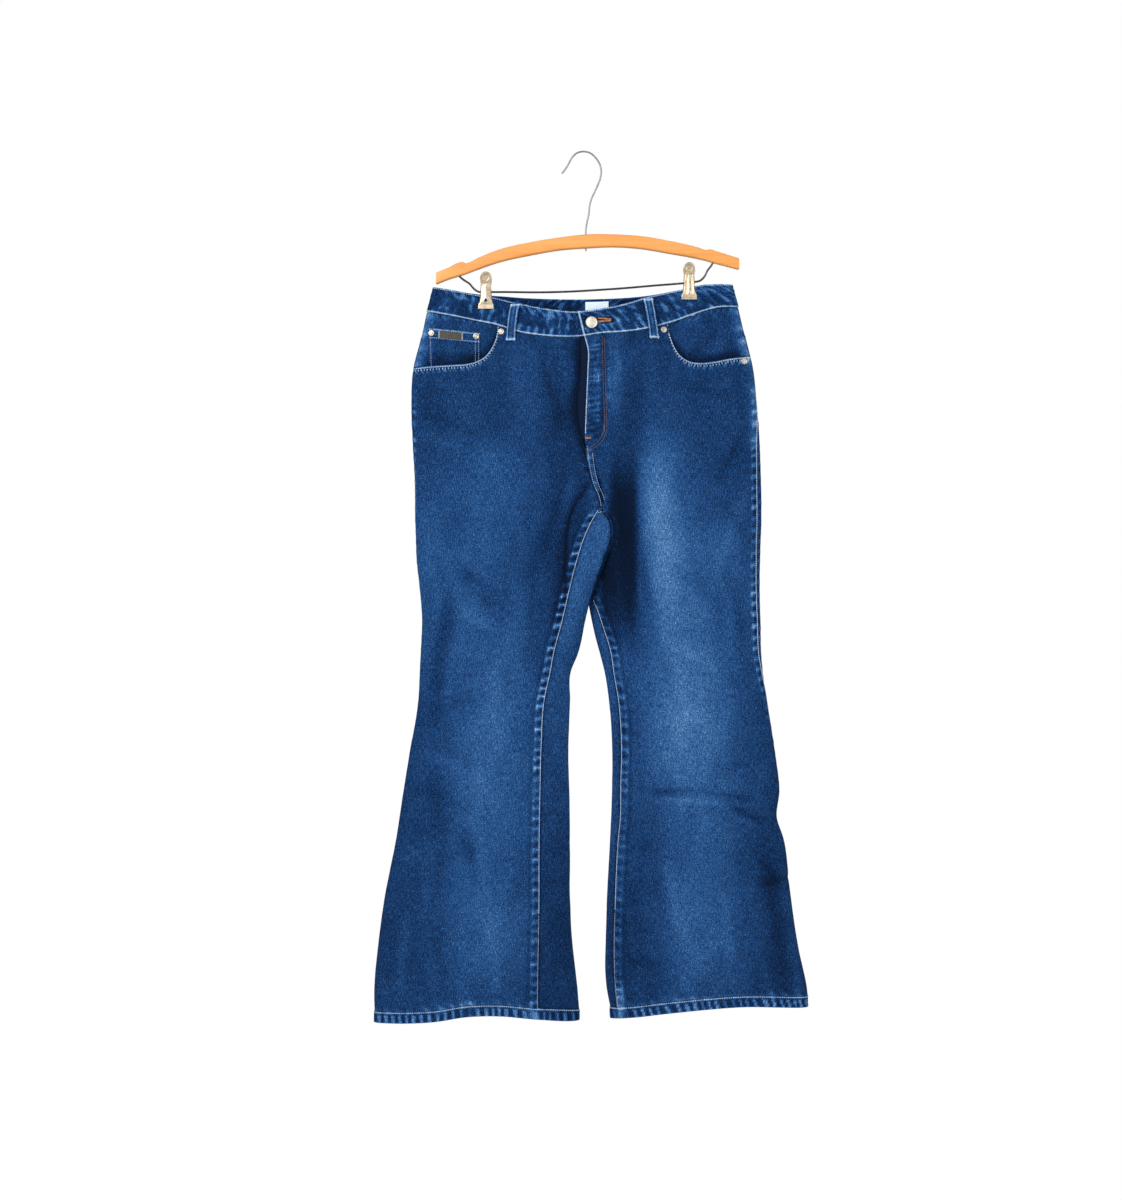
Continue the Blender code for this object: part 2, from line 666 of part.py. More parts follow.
def build_waistband():
    """One strip from the shield's end, round the right side and the back, to the lapping tab."""
    right, left = SIDES
    rows = np.linspace(0, 1, 4)[:, None]
    pieces = []
    front_right = waist_run(right, "front", WAIST_COLUMNS)[::-1]
    under = np.linspace(UNDERLAP_END, front_right[0] + 4, 4)
    runs = (
        (right, "front", np.concatenate([under, front_right[1:-1]])),
        (right, "back", waist_run(right, "back", WAIST_COLUMNS)[:-1]),
        (left, "back", waist_run(left, "back", WAIST_COLUMNS)[::-1][:-1]),
        (left, "front", waist_run(left, "front", WAIST_COLUMNS)[:-1]),
    )
    for half, wall, x in runs:
        top_table, seam_table = (FRONT_TOP, FRONT_SEAM) if wall == "front" else (BACK_TOP, BACK_SEAM)
        place = place_of(half.share_of(wall, x, BAND_LEVEL + 0 * x), BAND_LEVEL + 0 * x)
        top = drop_on(top_table, half, wall, place)
        foot = drop_on(seam_table, half, wall, place) - SEAM_GAP
        drop = top + (foot - top) * rows
        pieces.append(grid_from(*half.point(wall, place, drop), drop))
    tab_x = TAB_TOP + (TAB_FOOT - TAB_TOP) * rows
    tab_drop = FRONT_TOP.at("drop", TAB_TOP) + (FRONT_SEAM.at("drop", TAB_FOOT) - SEAM_GAP
                                                - FRONT_TOP.at("drop", TAB_TOP)) * rows
    tab_y = 0 * rows - BODY.at("front_depth", tab_drop)
    pieces.append(grid_from(tab_x, tab_y, tab_drop))
    grid = np.concatenate(pieces, axis=1)
    # The path runs from the middle out on the right side, so its own sense is the left side's.
    normal = normals_of(grid, 1)
    under_way = np.arange(grid.shape[1]) < UNDERLAP_COLUMNS
    offset = UNDERLAP_OFFSET * smooth((grid[..., 0] + 40) / 30) * under_way
    layered("waistband", grid, normal, WAISTBAND_CLOTH, DENIM_FINISH, offset=offset)


def build_yoke(half):
    """The pointed yoke between the waistband and the back panel."""
    zone = np.full(BACK_COLUMNS + 1, POCKET_ZONE)
    places = back_places(half, zone)
    top = drop_on(BACK_SEAM, half, "back", places) + SEAM_GAP
    foot = drop_on(YOKE_SEAM, half, "back", places) - SEAM_GAP / 2
    drop = top + (foot - top) * np.linspace(0, 1, 3)[:, None]
    grid = grid_from(*half.point("back", back_places(half, drop), drop), drop)
    normal = normals_of(grid, half.sign)
    normal[:, -1] = half.outseam_normal(drop[:, -1])
    layered(
        f"back_yoke_{half.name}", drawn_in(grid, SEAM_GAP / 2, "start end"), normal, DENIM,
        DENIM_FINISH,
    )


COIN_OFFSET = -1.6
COIN_PLACE = {"x": -221.0, "top": 252.0, "foot": 319.0, "width": 74.0, "slant": 7.5}
FACING_DEPTH = 3.5


def build_facing(half):
    """The cloth behind a pocket's mouth: flush at the side, tucked under the front panel inside."""
    order = np.linspace(half.mouth.rows[-1, 0], 0, 13)
    x = half.mouth.at("x", order)
    drop = half.mouth.at("drop", order)
    edge = half.sizes.at("edge", drop)
    inset = np.abs(x - edge)
    tuck = smooth((inset - 10) / 12)
    foot_x = x - half.sign * 12 * tuck * smooth((inset - 60) / 50)
    foot_drop = drop + 15 * tuck * (1 - 0.75 * smooth((inset - 90) / 35)) - 5 * SEAM_GAP
    top_x = np.linspace(half.sizes.at("edge", 228.0), foot_x[-1], len(order))
    top_drop = FRONT_SEAM.at("drop", top_x) + SEAM_GAP
    rows = np.linspace(0, 1, 5)[:, None]
    grid_drop = top_drop + (foot_drop - top_drop) * rows
    grid_x = top_x + (foot_x - top_x) * rows
    place = place_of(half.share_of("front", grid_x, grid_drop), grid_drop)
    place[:, 0] = half.outseam_place("front", grid_drop[:, 0])
    grid = grid_from(*half.point("front", place, grid_drop), grid_drop)
    normal = normals_of(grid, half.sign)
    normal[:, 0] = half.outseam_normal(grid_drop[:, 0])
    deepest = np.minimum(FACING_DEPTH, np.abs(grid[..., 1]) - 0.9)
    sunk = -deepest * smooth((np.abs(grid[..., 0] - half.sizes.at("edge", grid_drop)) - 1) / 8)
    layered(
        f"pocket_facing_{half.name}", drawn_in(grid, SEAM_GAP, "start"), normal, THIN_CLOTH,
        FACING_FINISH, offset=sunk,
    )


def build_coin_pocket():
    """The small watch pocket inside the right front pocket."""
    half = SIDES[0]
    columns = np.linspace(0, 1, 8)[None]
    rows = np.linspace(0, 1, 6)[:, None]
    top = COIN_PLACE["top"] + COIN_PLACE["slant"] * columns
    foot = COIN_PLACE["foot"] - columns
    drop = top + (foot - top) * rows
    # The outer edge leans in by a little towards the foot.
    x = COIN_PLACE["x"] + COIN_PLACE["width"] * columns + 2.0 * rows * (1 - columns)
    grid, normal = wall_patch(half, "front", x, drop)
    layered("coin_pocket", grid, normal, THIN_CLOTH, DENIM_FINISH, offset=COIN_OFFSET)


# Layers behind the fly: each from x1 to x2, down to a foot, set behind the front panel.
FLY_LAYERS = (
    ("zip_tape", -13, 22, 412, -1.35, TAPE_FINISH),
    ("fly_shield", -22, 34, 424, -2.4, FACING_FINISH),
)
FLY_CLOTH = 0.7


def build_fly():
    """The zip tape and the shield behind the lapped fly."""
    half = SIDES[1]
    columns = np.linspace(0, 1, 5)[None]
    rows = np.linspace(0, 1, 6)[:, None]
    for name, x1, x2, foot, offset, finish in FLY_LAYERS:
        x = x1 + (x2 - x1) * columns
        top = FRONT_SEAM.at("drop", x) + 4 * SEAM_GAP
        drop = top + (foot - top) * rows
        grid, normal = wall_patch(half, "front", x, drop)
        layered(name, grid, normal, FLY_CLOTH, finish, offset=offset)


# A back pocket: how far its middle is from the centre seam, and its size and slants.
BACK_MIDDLE = 20.0
POCKET_FROM_MIDDLE = 118.0
POCKET_HALF_WIDTH = 74.0
POCKET_TAPER = 9.0
POCKET_TOP = 336.0
POCKET_FOOT = 476.0
POCKET_POINT = 18.0
POCKET_TILTS = (8.0, 4.0)


def build_back_pocket(half):
    """A pointed patch pocket laid on the back panel."""
    columns = np.linspace(-1, 1, 7)[None]
    rows = np.linspace(0, 1, 6)[:, None]
    middle = BACK_MIDDLE + half.sign * POCKET_FROM_MIDDLE
    x = middle + columns * (POCKET_HALF_WIDTH - POCKET_TAPER * rows)
    top = POCKET_TOP - half.sign * columns * POCKET_TILTS[0]
    foot = POCKET_FOOT + POCKET_POINT * (1 - np.abs(columns)) - half.sign * columns * POCKET_TILTS[1]
    grid, normal = wall_patch(half, "back", x, top + (foot - top) * rows)
    offset = DENIM / 2 + SEAM_GAP + DENIM / 2 + 0.1
    layered(f"back_pocket_{half.name}", grid, normal, DENIM, DENIM_FINISH, offset=offset)


LOOPS = {
    "front_right": ("front", -95.4, -103.4),
    "front_left": ("front", 92.0, 101.5),
    "back_right": ("back", -80.0, -82.0),
    "back_middle": ("back", 20.0, 20.0),
    "back_left": ("back", 104.0, 106.0),
}
LOOP_WIDTH = 13.5
LOOP_CLOTH = 1.4
LOOP_ARCH = 2.6
LOOP_INSET = 1.5
LOOP_BELOW = 16.5


def build_belt_loops():
    """Five loops, each an arch from the waistband's top to just below its seam."""
    for name, (wall, top_x, foot_x) in LOOPS.items():
        half = SIDES[0] if name.endswith("right") else SIDES[1]
        top_table, seam_table = (FRONT_TOP, FRONT_SEAM) if wall == "front" else (BACK_TOP, BACK_SEAM)
        rows = np.linspace(0, 1, 8)[:, None]
        columns = np.linspace(-0.5, 0.5, 3)[None] * LOOP_WIDTH
        top = top_table.at("drop", np.array(top_x)) + LOOP_INSET
        foot = seam_table.at("drop", np.array(foot_x)) + LOOP_BELOW
        drop = top + (foot - top) * rows + 0 * columns
        x = top_x + (foot_x - top_x) * rows + columns
        grid, normal = wall_patch(half, wall, x, drop)
        middle_x = top_x + (foot_x - top_x) * rows + 0 * columns
        middle, level = wall_patch(half, wall, middle_x, drop)
        seated = LOOP_CLOTH / 2 + 2 * SEAM_GAP
        on_band = WAISTBAND_CLOTH / 2 + seated
        on_panel = DENIM / 2 + seated
        seat = on_band + (on_panel - on_band) * smooth((rows - 0.72) / 0.12)
        arch = LOOP_ARCH * smooth(rows / 0.22) * smooth((0.92 - rows) / 0.2)
        layered(f"belt_loop_{name}", grid, level, LOOP_CLOTH, DENIM_FINISH, offset=seat + arch)


def turned(name, half, wall, x, drop, lift, profile_points, finish, sides=12):
    """A round stud whose axis stands out of the cloth, from (height, radius) points."""
    spot, normal = wall_patch(half, wall, np.array([[x]], float), np.array([[drop]], float))
    spot, normal = spot[0, 0], normal[0, 0]
    across = np.array([-normal[1], normal[0], 0])
    up = np.array([0, 0, 1.0])
    rings = []
    for height, radius in profile_points:
        centre = spot + normal * (lift + height)
        if radius == 0:
            rings.append([centre])
            continue
        angles = np.linspace(0, 2 * np.pi, sides, endpoint=False)
        rings.append([centre + radius * (np.cos(a) * across + np.sin(a) * up) for a in angles])
    return new_object(name, np.array([p for ring in rings for p in ring]), ring_faces(rings), finish)


def ring_faces(rings):
    """Faces that join rings of points in order, a single point closing each end."""
    faces = []
    start = 0
    for ring, after in zip(rings, rings[1:]):
        follow = start + len(ring)
        count = max(len(ring), len(after))
        for i in range(count):
            j = (i + 1) % count
            if len(ring) == 1:
                faces.append((start, follow + j, follow + i))
            elif len(after) == 1:
                faces.append((start + i, start + j, follow))
            else:
                faces.append((start + i, start + j, follow + j, follow + i))
        start = follow
    return faces


RIVET_PROFILE = ((0, 0), (0, 4.3), (0.5, 4.4), (1.0, 3.4), (1.1, 2.0), (1.7, 1.5), (1.8, 0))
BUTTON_PROFILE = (
    (0, 0), (0, 4.2), (1.6, 4.2), (2.0, 8.2), (2.6, 8.5), (3.4, 8.0), (3.3, 6.0), (3.9, 0),
)


def build_studs():
    """Five rivets and the shank button."""
    right, left = SIDES
    on_panel = DENIM / 2 + 3 * SEAM_GAP
    on_fold = DENIM / 2 + 1.5 * SEAM_GAP
    on_coin = COIN_OFFSET + THIN_CLOTH / 2 + 3 * SEAM_GAP
    for name, half, x, drop, lift in (
        ("coin_outer", right, -216.5, 259.2, on_coin),
        ("coin_inner", right, -152.5, 264.0, on_coin + SEAM_GAP),
        ("mouth_right_inner", right, -116.5, 257.5, on_panel),
        ("mouth_left_inner", left, 114.6, 255.0, on_panel),
        ("mouth_left_outer", left, 229.5, 299.5, on_fold),
    ):
        turned(f"rivet_{name}", half, "front", x, drop, lift, RIVET_PROFILE, NICKEL_FINISH)
    on_band = WAISTBAND_CLOTH / 2 + SEAM_GAP
    turned("button", left, "front", 12.0, 245.5, on_band, BUTTON_PROFILE, NICKEL_FINISH, sides=20)


PLATE = {"x": -206.5, "top": 256.2, "width": 35.5, "height": 10.0, "slant": 3.2, "thick": 0.8}
LABEL = {"x": 3.4, "below": 4.0, "width": 33.4, "height": 24.0, "thick": 0.6}


def build_labels():
    """The bare plate on the coin pocket and the bare label inside the back of the waist."""
    columns = np.linspace(0, 1, 5)[None]
    rows = np.linspace(0, 1, 3)[:, None]
    x = PLATE["x"] + PLATE["width"] * columns
    drop = PLATE["top"] + PLATE["slant"] * columns + PLATE["height"] * rows
    grid, normal = wall_patch(SIDES[0], "front", x, drop)
    layered("coin_plate", grid, normal, PLATE["thick"], PLATE_FINISH,
            offset=COIN_OFFSET + THIN_CLOTH / 2 + 2 * SEAM_GAP + PLATE["thick"] / 2)
    x = LABEL["x"] + LABEL["width"] * columns
    drop = BACK_TOP.at("drop", x) + LABEL["below"] + LABEL["height"] * rows
    grid, normal = wall_patch(SIDES[1], "back", x, drop)
    layered("waist_label", grid, normal, LABEL["thick"], LABEL_FINISH,
            offset=-(WAISTBAND_CLOTH / 2 + SEAM_GAP + LABEL["thick"] / 2))


# The hanger: its arch, and the wires as routes of (x, drop).
ARCH = Table(
    "x top foot",
    (-210, 172.4, 189), (-190, 164.2, 181), (-173, 157, 176), (-167, 159, 174), (-154, 153, 169),
    (-119, 139, 157), (-76, 129, 147.5), (-33, 122, 140), (7, 117.5, 137), (41, 117.5, 135.5),
    (82, 120, 138), (124, 127, 145), (167, 137, 153), (177, 140, 155.5), (180.5, 138.9, 156.5),
    (189, 141.3, 159), (206, 146.5, 163.5), (223, 152, 168),
)
ARCH_DEPTH = 12.0
HOOK_ROUTE = (
    (4, 141), (4, 134), (4, 127), (4, 120), (4, 113), (5.5, 101), (8, 90), (9.5, 77), (11.5, 68),
    (16, 58), (21, 47), (25, 36), (26, 27), (23.5, 16), (17.5, 7), (10, 0.8), (0, -1.3), (-9, 1),
    (-16, 8), (-21, 17), (-26, 25), (-30, 30),
)
HOOK_WIRE = 2.5
BAR_ROUTE = (
    (-178, 168), (-176.5, 177), (-171, 182), (-162, 188), (-156, 195), (-150, 199), (-138, 199.5),
    (-110, 199.6), (-60, 200), (-20, 199), (24, 196.5), (60, 194), (100, 190.5), (138, 187.5),
    (158, 185.5), (168, 183), (174, 177), (178, 169), (184, 161), (188, 151),
)
BAR_WIRE = 3.0
WIRE_CLEARANCE = 0.3


def cutter(name, centre, radius, length, lean=0.0):
    """A round drill along Z, leaning in the plane of the hanger, kept out of the part."""
    bpy.ops.mesh.primitive_cylinder_add(
        vertices=12, radius=radius * MM, depth=length * MM,
        location=(centre[0] * MM, 0, -centre[1] * MM), rotation=(0, lean, 0),
    )
    drill = bpy.context.object
    drill.name = name
    drill.hide_render = True
    drill.display_type = "WIRE"
    return drill


def build_arch():
    """The wooden arch: rounded sections along X, drilled for the hook and the bar's two ends."""
    stations = np.concatenate([[-210, -200, -190, -180, -173, -167, -160], np.arange(-148, 170, 12.0),
                               [172, 177, 180.5, 184, 189, 198, 210, 223]])
    half_depth = ARCH_DEPTH / 2
    corner = 3.0
    outline = ((-half_depth, -1, corner), (-half_depth, 1, corner), (-half_depth + corner, 1, 0),
               (half_depth - corner, 1, 0), (half_depth, 1, corner), (half_depth, -1, corner),
               (half_depth - corner, -1, 0), (-half_depth + corner, -1, 0))
    rings = []
    for x in stations:
        top = -ARCH.at("top", np.array(x))
        foot = -ARCH.at("foot", np.array(x))
        level = {1: top, -1: foot}
        rings.append([(x, y, level[side] - side * inset) for y, side, inset in outline])
    sides = len(outline)
    points = np.array([p for ring in rings for p in ring])
    last = (len(rings) - 1) * sides
    caps = [tuple(range(sides)), tuple(last + i for i in reversed(range(sides)))]
    arch = new_object("hanger_arch", points, ring_faces(rings) + caps, WOOD_FINISH)
    drills = (
        cutter("drill_hook", (4, 128), HOOK_WIRE / 2 + 1.5 * WIRE_CLEARANCE, 60),
        cutter("drill_bar_right", (-177.3, 173), BAR_WIRE / 2 + 3 * WIRE_CLEARANCE, 14, lean=-0.16),
        cutter("drill_bar_left", (186.0, 156), BAR_WIRE / 2 + 3 * WIRE_CLEARANCE, 16, lean=0.42),
    )
    for drill in drills:
        cut = arch.modifiers.new(drill.name, "BOOLEAN")
        cut.operation = "DIFFERENCE"
        cut.solver = "EXACT"
        cut.object = drill


def wire(name, route, diameter, finish, spacing):
    """A round wire along a smooth curve through (x, drop) points, in the plane of the hanger."""
    route = np.array(route, float)
    run = np.concatenate([[0], np.cumsum(np.hypot(*np.diff(route, axis=0).T))])
    even = np.linspace(0, run[-1], int(run[-1] / spacing) + 1)
    by_run = Table("run x drop", *np.column_stack([run, route]))
    data = bpy.data.curves.new(name, "CURVE")
    data.dimensions = "3D"
    data.bevel_depth = diameter / 2 * MM
    data.bevel_resolution = 1
    data.use_fill_caps = True
    spline = data.splines.new("POLY")
    spline.points.add(len(even) - 1)
    for point, x, drop in zip(spline.points, by_run.at("x", even), by_run.at("drop", even)):
        point.co = (x * MM, 0, -drop * MM, 1)
    data.materials.append(new_material(name, *finish))
    obj = bpy.data.objects.new(name, data)
    bpy.context.scene.collection.objects.link(obj)


# A clip's jaw, from the finger tab at the top to the teeth: (below the bar, half width, stand-off).
JAW = (
    (-28, 5.0, 9.0), (-26, 7.5, 8.6), (-21, 8.3, 7.6), (-12, 8.2, 5.4), (-3, 8.0, 4.4),
    (6, 8.0, 4.6), (14, 9.5, 4.9), (20, 11.0, 4.4), (25, 11.2, 4.2),
)
JAW_STEEL = 0.9
SLEEVE_RADIUS = 2.9
SLEEVE_LENGTH = 14.0


def bar_drop(x):
    route = np.array(BAR_ROUTE, float)
    return np.interp(x, route[:, 0], route[:, 1])


def build_clips():
    """Each clip: a front jaw, a back jaw and the sleeve between them that rides on the bar."""
    for side, x in CLIPS.items():
        rest = bar_drop(x)
        lean = np.arctan2(bar_drop(x + 7) - bar_drop(x - 7), 14)
        for wall, facing in (("front", -1), ("back", 1)):
            columns = np.linspace(-1, 1, 5)[None]
            below, half_width, stand_off = (np.array(c)[:, None] for c in zip(*JAW))
            crown = 0.7 * (1 - columns**2)
            grid_x = x + half_width * columns
            grid_y = facing * (stand_off + crown) + 0 * grid_x
            drop = rest + below + 0 * columns
            grid = grid_from(grid_x, grid_y, drop)
            normal = unit(np.stack([0.12 * columns + 0 * grid_y, facing + 0 * grid_y, 0 * grid_y], -1))
            layered(f"clip_{side}_{wall}_jaw", grid, normal, JAW_STEEL, CLIP_FINISH)
        build_sleeve(f"clip_{side}_sleeve", x, rest, lean)


def build_sleeve(name, x, rest, lean):
    """A short tube round the bar, open at both ends."""
    inner = BAR_WIRE / 2 + 2 * WIRE_CLEARANCE
    along = np.array([np.cos(lean), 0, -np.sin(lean)])
    up = np.array([np.sin(lean), 0, np.cos(lean)])
    back = np.array([0, 1.0, 0])
    angles = np.linspace(0, 2 * np.pi, 12, endpoint=False)
    grids = []
    for radius in (SLEEVE_RADIUS, inner):
        ring = [radius * (np.cos(a) * up + np.sin(a) * back) for a in angles]
        ends = [np.array(ring) + along * s for s in (-SLEEVE_LENGTH / 2, SLEEVE_LENGTH / 2)]
        grids.append(np.array(ends) + np.array([x, 0, -rest]))
    cloth_wall(name, grids[0], grids[1], CLIP_FINISH, closed=True)


def main():
    for obj in list(bpy.data.objects):
        bpy.data.objects.remove(obj)
    for half in SIDES:
        build_panels(half)
        build_yoke(half)
        build_facing(half)
        build_back_pocket(half)
    build_waistband()
    build_coin_pocket()
    build_fly()
    build_belt_loops()
    build_studs()
    build_labels()
    build_arch()
    wire("hanger_hook", HOOK_ROUTE, HOOK_WIRE, HOOK_FINISH, 4.0)
    wire("hanger_bar", BAR_ROUTE, BAR_WIRE, BAR_FINISH, 7.0)
    build_clips()


main()
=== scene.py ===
"""Looks of the flared jeans and of the clip hanger that holds them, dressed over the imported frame.

The cloth is worked out in millimetres: +X to the wearer's left, +Y to the back, and "drop" measured
down from the underside of the hook. Meshes are in metres, in the frame's own place.
"""

import logging
from dataclasses import dataclass, field
from enum import Enum
from typing import Sequence

import bmesh
import bpy
import numpy as np
from mathutils import Matrix, Vector


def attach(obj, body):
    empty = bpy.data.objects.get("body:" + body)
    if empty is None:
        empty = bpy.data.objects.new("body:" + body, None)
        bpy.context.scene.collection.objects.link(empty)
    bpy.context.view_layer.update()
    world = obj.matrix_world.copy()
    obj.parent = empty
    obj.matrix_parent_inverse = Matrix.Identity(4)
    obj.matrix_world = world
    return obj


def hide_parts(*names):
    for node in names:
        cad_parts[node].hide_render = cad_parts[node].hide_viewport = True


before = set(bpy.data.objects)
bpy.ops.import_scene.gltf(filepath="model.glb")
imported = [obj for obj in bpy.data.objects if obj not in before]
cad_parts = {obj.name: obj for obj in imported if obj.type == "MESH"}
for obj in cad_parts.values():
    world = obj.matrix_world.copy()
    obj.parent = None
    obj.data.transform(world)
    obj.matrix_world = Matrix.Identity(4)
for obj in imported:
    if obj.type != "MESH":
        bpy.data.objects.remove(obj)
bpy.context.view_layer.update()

LOG = logging.getLogger("jeans")
MM = 0.001
Array = np.ndarray
Socket = bpy.types.NodeSocket
Colour = tuple[float, float, float]
Stops = tuple[tuple[float, Colour], ...]


class Wall(Enum):
    """The two faces of the hanging jeans."""

    FRONT = "front"
    BACK = "back"

    @property
    def other(self) -> "Wall":
        """The wall on the other side of the body."""
        return Wall.BACK if self is Wall.FRONT else Wall.FRONT

    @property
    def facing(self) -> int:
        """The sense of Y that this wall looks to."""
        return -1 if self is Wall.FRONT else 1


class Edge(Enum):
    """The edges of a piece of cloth whose rows run down and whose columns run round."""

    START = "start"
    END = "end"
    TOP = "top"
    FOOT = "foot"


# ---------------------------------------------------------------- the cut, as in the solids


class Table:
    """A short table of named columns, read at any key of its first column along smooth curves."""

    def __init__(self, columns: str, *rows: tuple[float, ...]) -> None:
        """Keep the columns' names and the rows.

        Args:
            columns: Names of the columns, the key first.
            rows: One tuple for each key, keys rising.
        """
        self.columns = columns.split()
        self.rows = np.array(rows, float)

    def at(self, column: str, key: Array | float) -> Array:
        """Read one column.

        Args:
            column: Name of the column.
            key: Keys to read at.

        Returns:
            The column's values along a smooth curve.
        """
        keys = self.rows[:, 0]
        values = self.rows[:, self.columns.index(column)]
        slopes = np.gradient(values, keys)
        key = np.clip(key, keys[0], keys[-1])
        i = np.clip(np.searchsorted(keys, key, side="right") - 1, 0, len(keys) - 2)
        step = keys[i + 1] - keys[i]
        t = (key - keys[i]) / step
        return (
            (2 * t**3 - 3 * t**2 + 1) * values[i]
            + (t**3 - 2 * t**2 + t) * step * slopes[i]
            + (3 * t**2 - 2 * t**3) * values[i + 1]
            + (t**3 - t**2) * step * slopes[i + 1]
        )


RIGHT = Table(
    "drop edge fold inseam outseam",
    (189, -213, 24, 24, 0), (212, -219, 24, 24, 0), (229, -223, 24, 24, 0), (269, -232, 24, 24, 0),
    (309, -242, 24, 24, 0), (355, -245, 24, 24, 0), (412, -243, 24, 24, -0.04),
    (462, -240, 24, 24, -0.08), (509, -239, 24, 24, -0.1), (526, -239, 36, 14, -0.1),
    (552, -238, 39, 2, -0.1), (583, -237, 29, -8, -0.1), (626, -233, 14, -19, -0.1),
    (669, -230, 3, -29, -0.1), (719, -231, -9, -42, -0.1), (741, -232, -18, -46, -0.1),
    (784, -235, -20, -55, -0.1), (848, -246, -22, -59, -0.1), (927, -259, -20, -61, -0.1),
    (998, -270, -19, -62, -0.1), (1062, -283, -19, -62, -0.1), (1127, -292, -16, -63, -0.1),
    (1191, -297, -9, -64, -0.1), (1243, -297, -5, -64, -0.1),
)
LEFT = Table(
    "drop edge fold inseam outseam",
    (189, 213, 24, 24, 0), (212, 219, 24, 24, 0), (229, 223, 24, 24, 0), (269, 233, 24, 24, 0),
    (309, 242.5, 24, 24, 0), (355, 247.5, 24, 24, 0), (412, 252, 24, 24, 0.1),
    (462, 254, 24, 24, 0.13),
    (509, 255, 24, 24, 0.14), (526, 255, 17, 22, 0.14), (552, 254, 5, 17, 0.13),
    (583, 253, 3, 13, 0.11), (626, 252, 4, 12, 0.09), (669, 253, 12, 25, 0.08),
    (719, 254, 25, 40, 0.07), (741, 256, 31, 43, 0.05), (784, 262, 38, 50, -0.01),
    (848, 272, 42, 54, -0.08), (912, 280, 42, 53, -0.1), (952, 277, 41, 52.5, -0.1),
    (977, 285, 40, 50, -0.1), (1062, 296, 35, 45.5, -0.1), (1127, 305, 33, 43.5, -0.1),
    (1191, 319, 34, 45.5, -0.1), (1222, 323, 40, 49, -0.1),
)
BODY = Table(
    "drop front_middle back_middle front_depth back_depth",
    (189, -9, 20, 13, 8), (229, -6, 20, 15, 10), (269, 1, 20, 16, 12), (309, 6, 20, 17, 15),
    (355, 7, 20, 18, 18), (412, 6, 21, 20, 20), (462, 16, 22, 21, 21), (509, 24, 24, 21, 21),
    (600, 24, 24, 20, 20), (700, 24, 24, 18, 18), (850, 24, 24, 19, 19), (1000, 24, 24, 23, 23),
    (1130, 24, 24, 26, 26), (1243, 24, 24, 28, 28),
)
TOP_LINES = {
    Wall.FRONT: Table(
        "x drop", (-214, 193), (-180, 199), (-149, 204), (-127, 207.5), (-89, 218), (-61, 224),
        (-6, 229), (27, 225), (57, 219), (87, 210), (137, 197), (167, 190), (213, 189),
    ),
    Wall.BACK: Table(
        "x drop", (-214, 193), (-139, 203.8), (-90, 206.8), (20, 208.5), (82, 205), (147, 195.5),
        (184, 190), (213, 189),
    ),
}
WAIST_SEAMS = {
    Wall.FRONT: Table(
        "x drop", (-225, 228), (-189, 235), (-152, 242), (-127, 247), (-87, 260), (-61, 264),
        (0, 265), (27, 261), (57, 259), (87, 255), (127, 244), (157, 233), (187, 224), (221, 222),
    ),
    Wall.BACK: Table(
        "x drop", (-225, 228), (-139, 239), (-90, 245), (20, 247), (82, 243.5), (147, 234),
        (184, 228), (221, 222),
    ),
}
YOKE_SEAM = Table("x drop", (-232, 264), (-139, 296), (20, 326), (160, 294), (234, 260))
HEM_EDGE = Table(
    "x drop", (-297, 1243), (-204, 1237.5), (-169, 1231.5), (-119, 1230), (-69, 1235), (-6, 1240),
    (40, 1237), (82, 1232), (110, 1228), (167, 1221.5), (225, 1217.5), (323, 1221),
)
RIGHT_MOUTH = Table(
    "order x drop", (0, -121, 249), (1, -122, 260), (2, -125, 271), (3, -131, 283), (4, -139, 293),
    (5, -151, 300), (6, -166, 304), (7, -192, 305.5), (8, -220, 307), (9, -243, 309),
)
LEFT_MOUTH = Table(
    "order x drop", (0, 120, 246.5), (1, 121, 256), (2, 124, 266), (3, 129, 279), (4, 137, 291),
    (5, 148, 299), (6, 163, 302.5), (7, 184, 301), (8, 210, 296), (9, 239.5, 292),
)
RIGHT_RISE = Table(
    "drop x", (250, -5), (268, -4), (400, -4), (418, 1), (429, 4), (460, 8.5), (478, 13.5),
    (493, 20), (509, 24),
)
LEFT_RISE = Table(
    "drop x", (250, 0), (264, 1.5), (285, 6.5), (310, 6), (347, 4.5), (383, 3), (409, 2.5),
    (429, 4.5), (460, 9), (478, 14), (493, 20.5), (509, 24),
)
FOLDS = {
    Wall.FRONT: Table(
        "x1 drop1 x2 drop2 width rise",
        (10, 460, -27, 585, 11, -3.5), (60, 430, 84, 700, 22, -4.5), (104, 440, 122, 690, 20, 3.0),
        (-174, 600, -118, 655, 12, -2.5), (-190, 650, -208, 806, 14, -3.0),
        (95, 912, 240, 924, 9, -2.5), (200, 932, 250, 955, 8, -2.5),
        (255, 1045, 300, 1033, 9, -2.5), (-172, 960, -160, 1010, 16, -2.5),
        (190, 500, 235, 545, 13, -2.5), (-96, 285, -60, 380, 24, 2.5), (70, 280, 52, 370, 22, 2.5),
        (-105, 740, -115, 1120, 38, 5.0), (165, 760, 185, 1120, 38, 5.0),
        (-205, 900, -235, 1180, 24, -4.0), (95, 960, 100, 1190, 26, -4.0),
    ),
    Wall.BACK: Table(
        "x1 drop1 x2 drop2 width rise",
        (-150, 560, -90, 610, 16, -3.5), (180, 560, 110, 610, 16, -3.5),
        (-60, 520, -110, 590, 14, -3.0), (90, 520, 140, 590, 14, -3.0),
        (-110, 740, -120, 1150, 36, 4.0), (165, 760, 185, 1150, 36, 4.0),
    ),
}

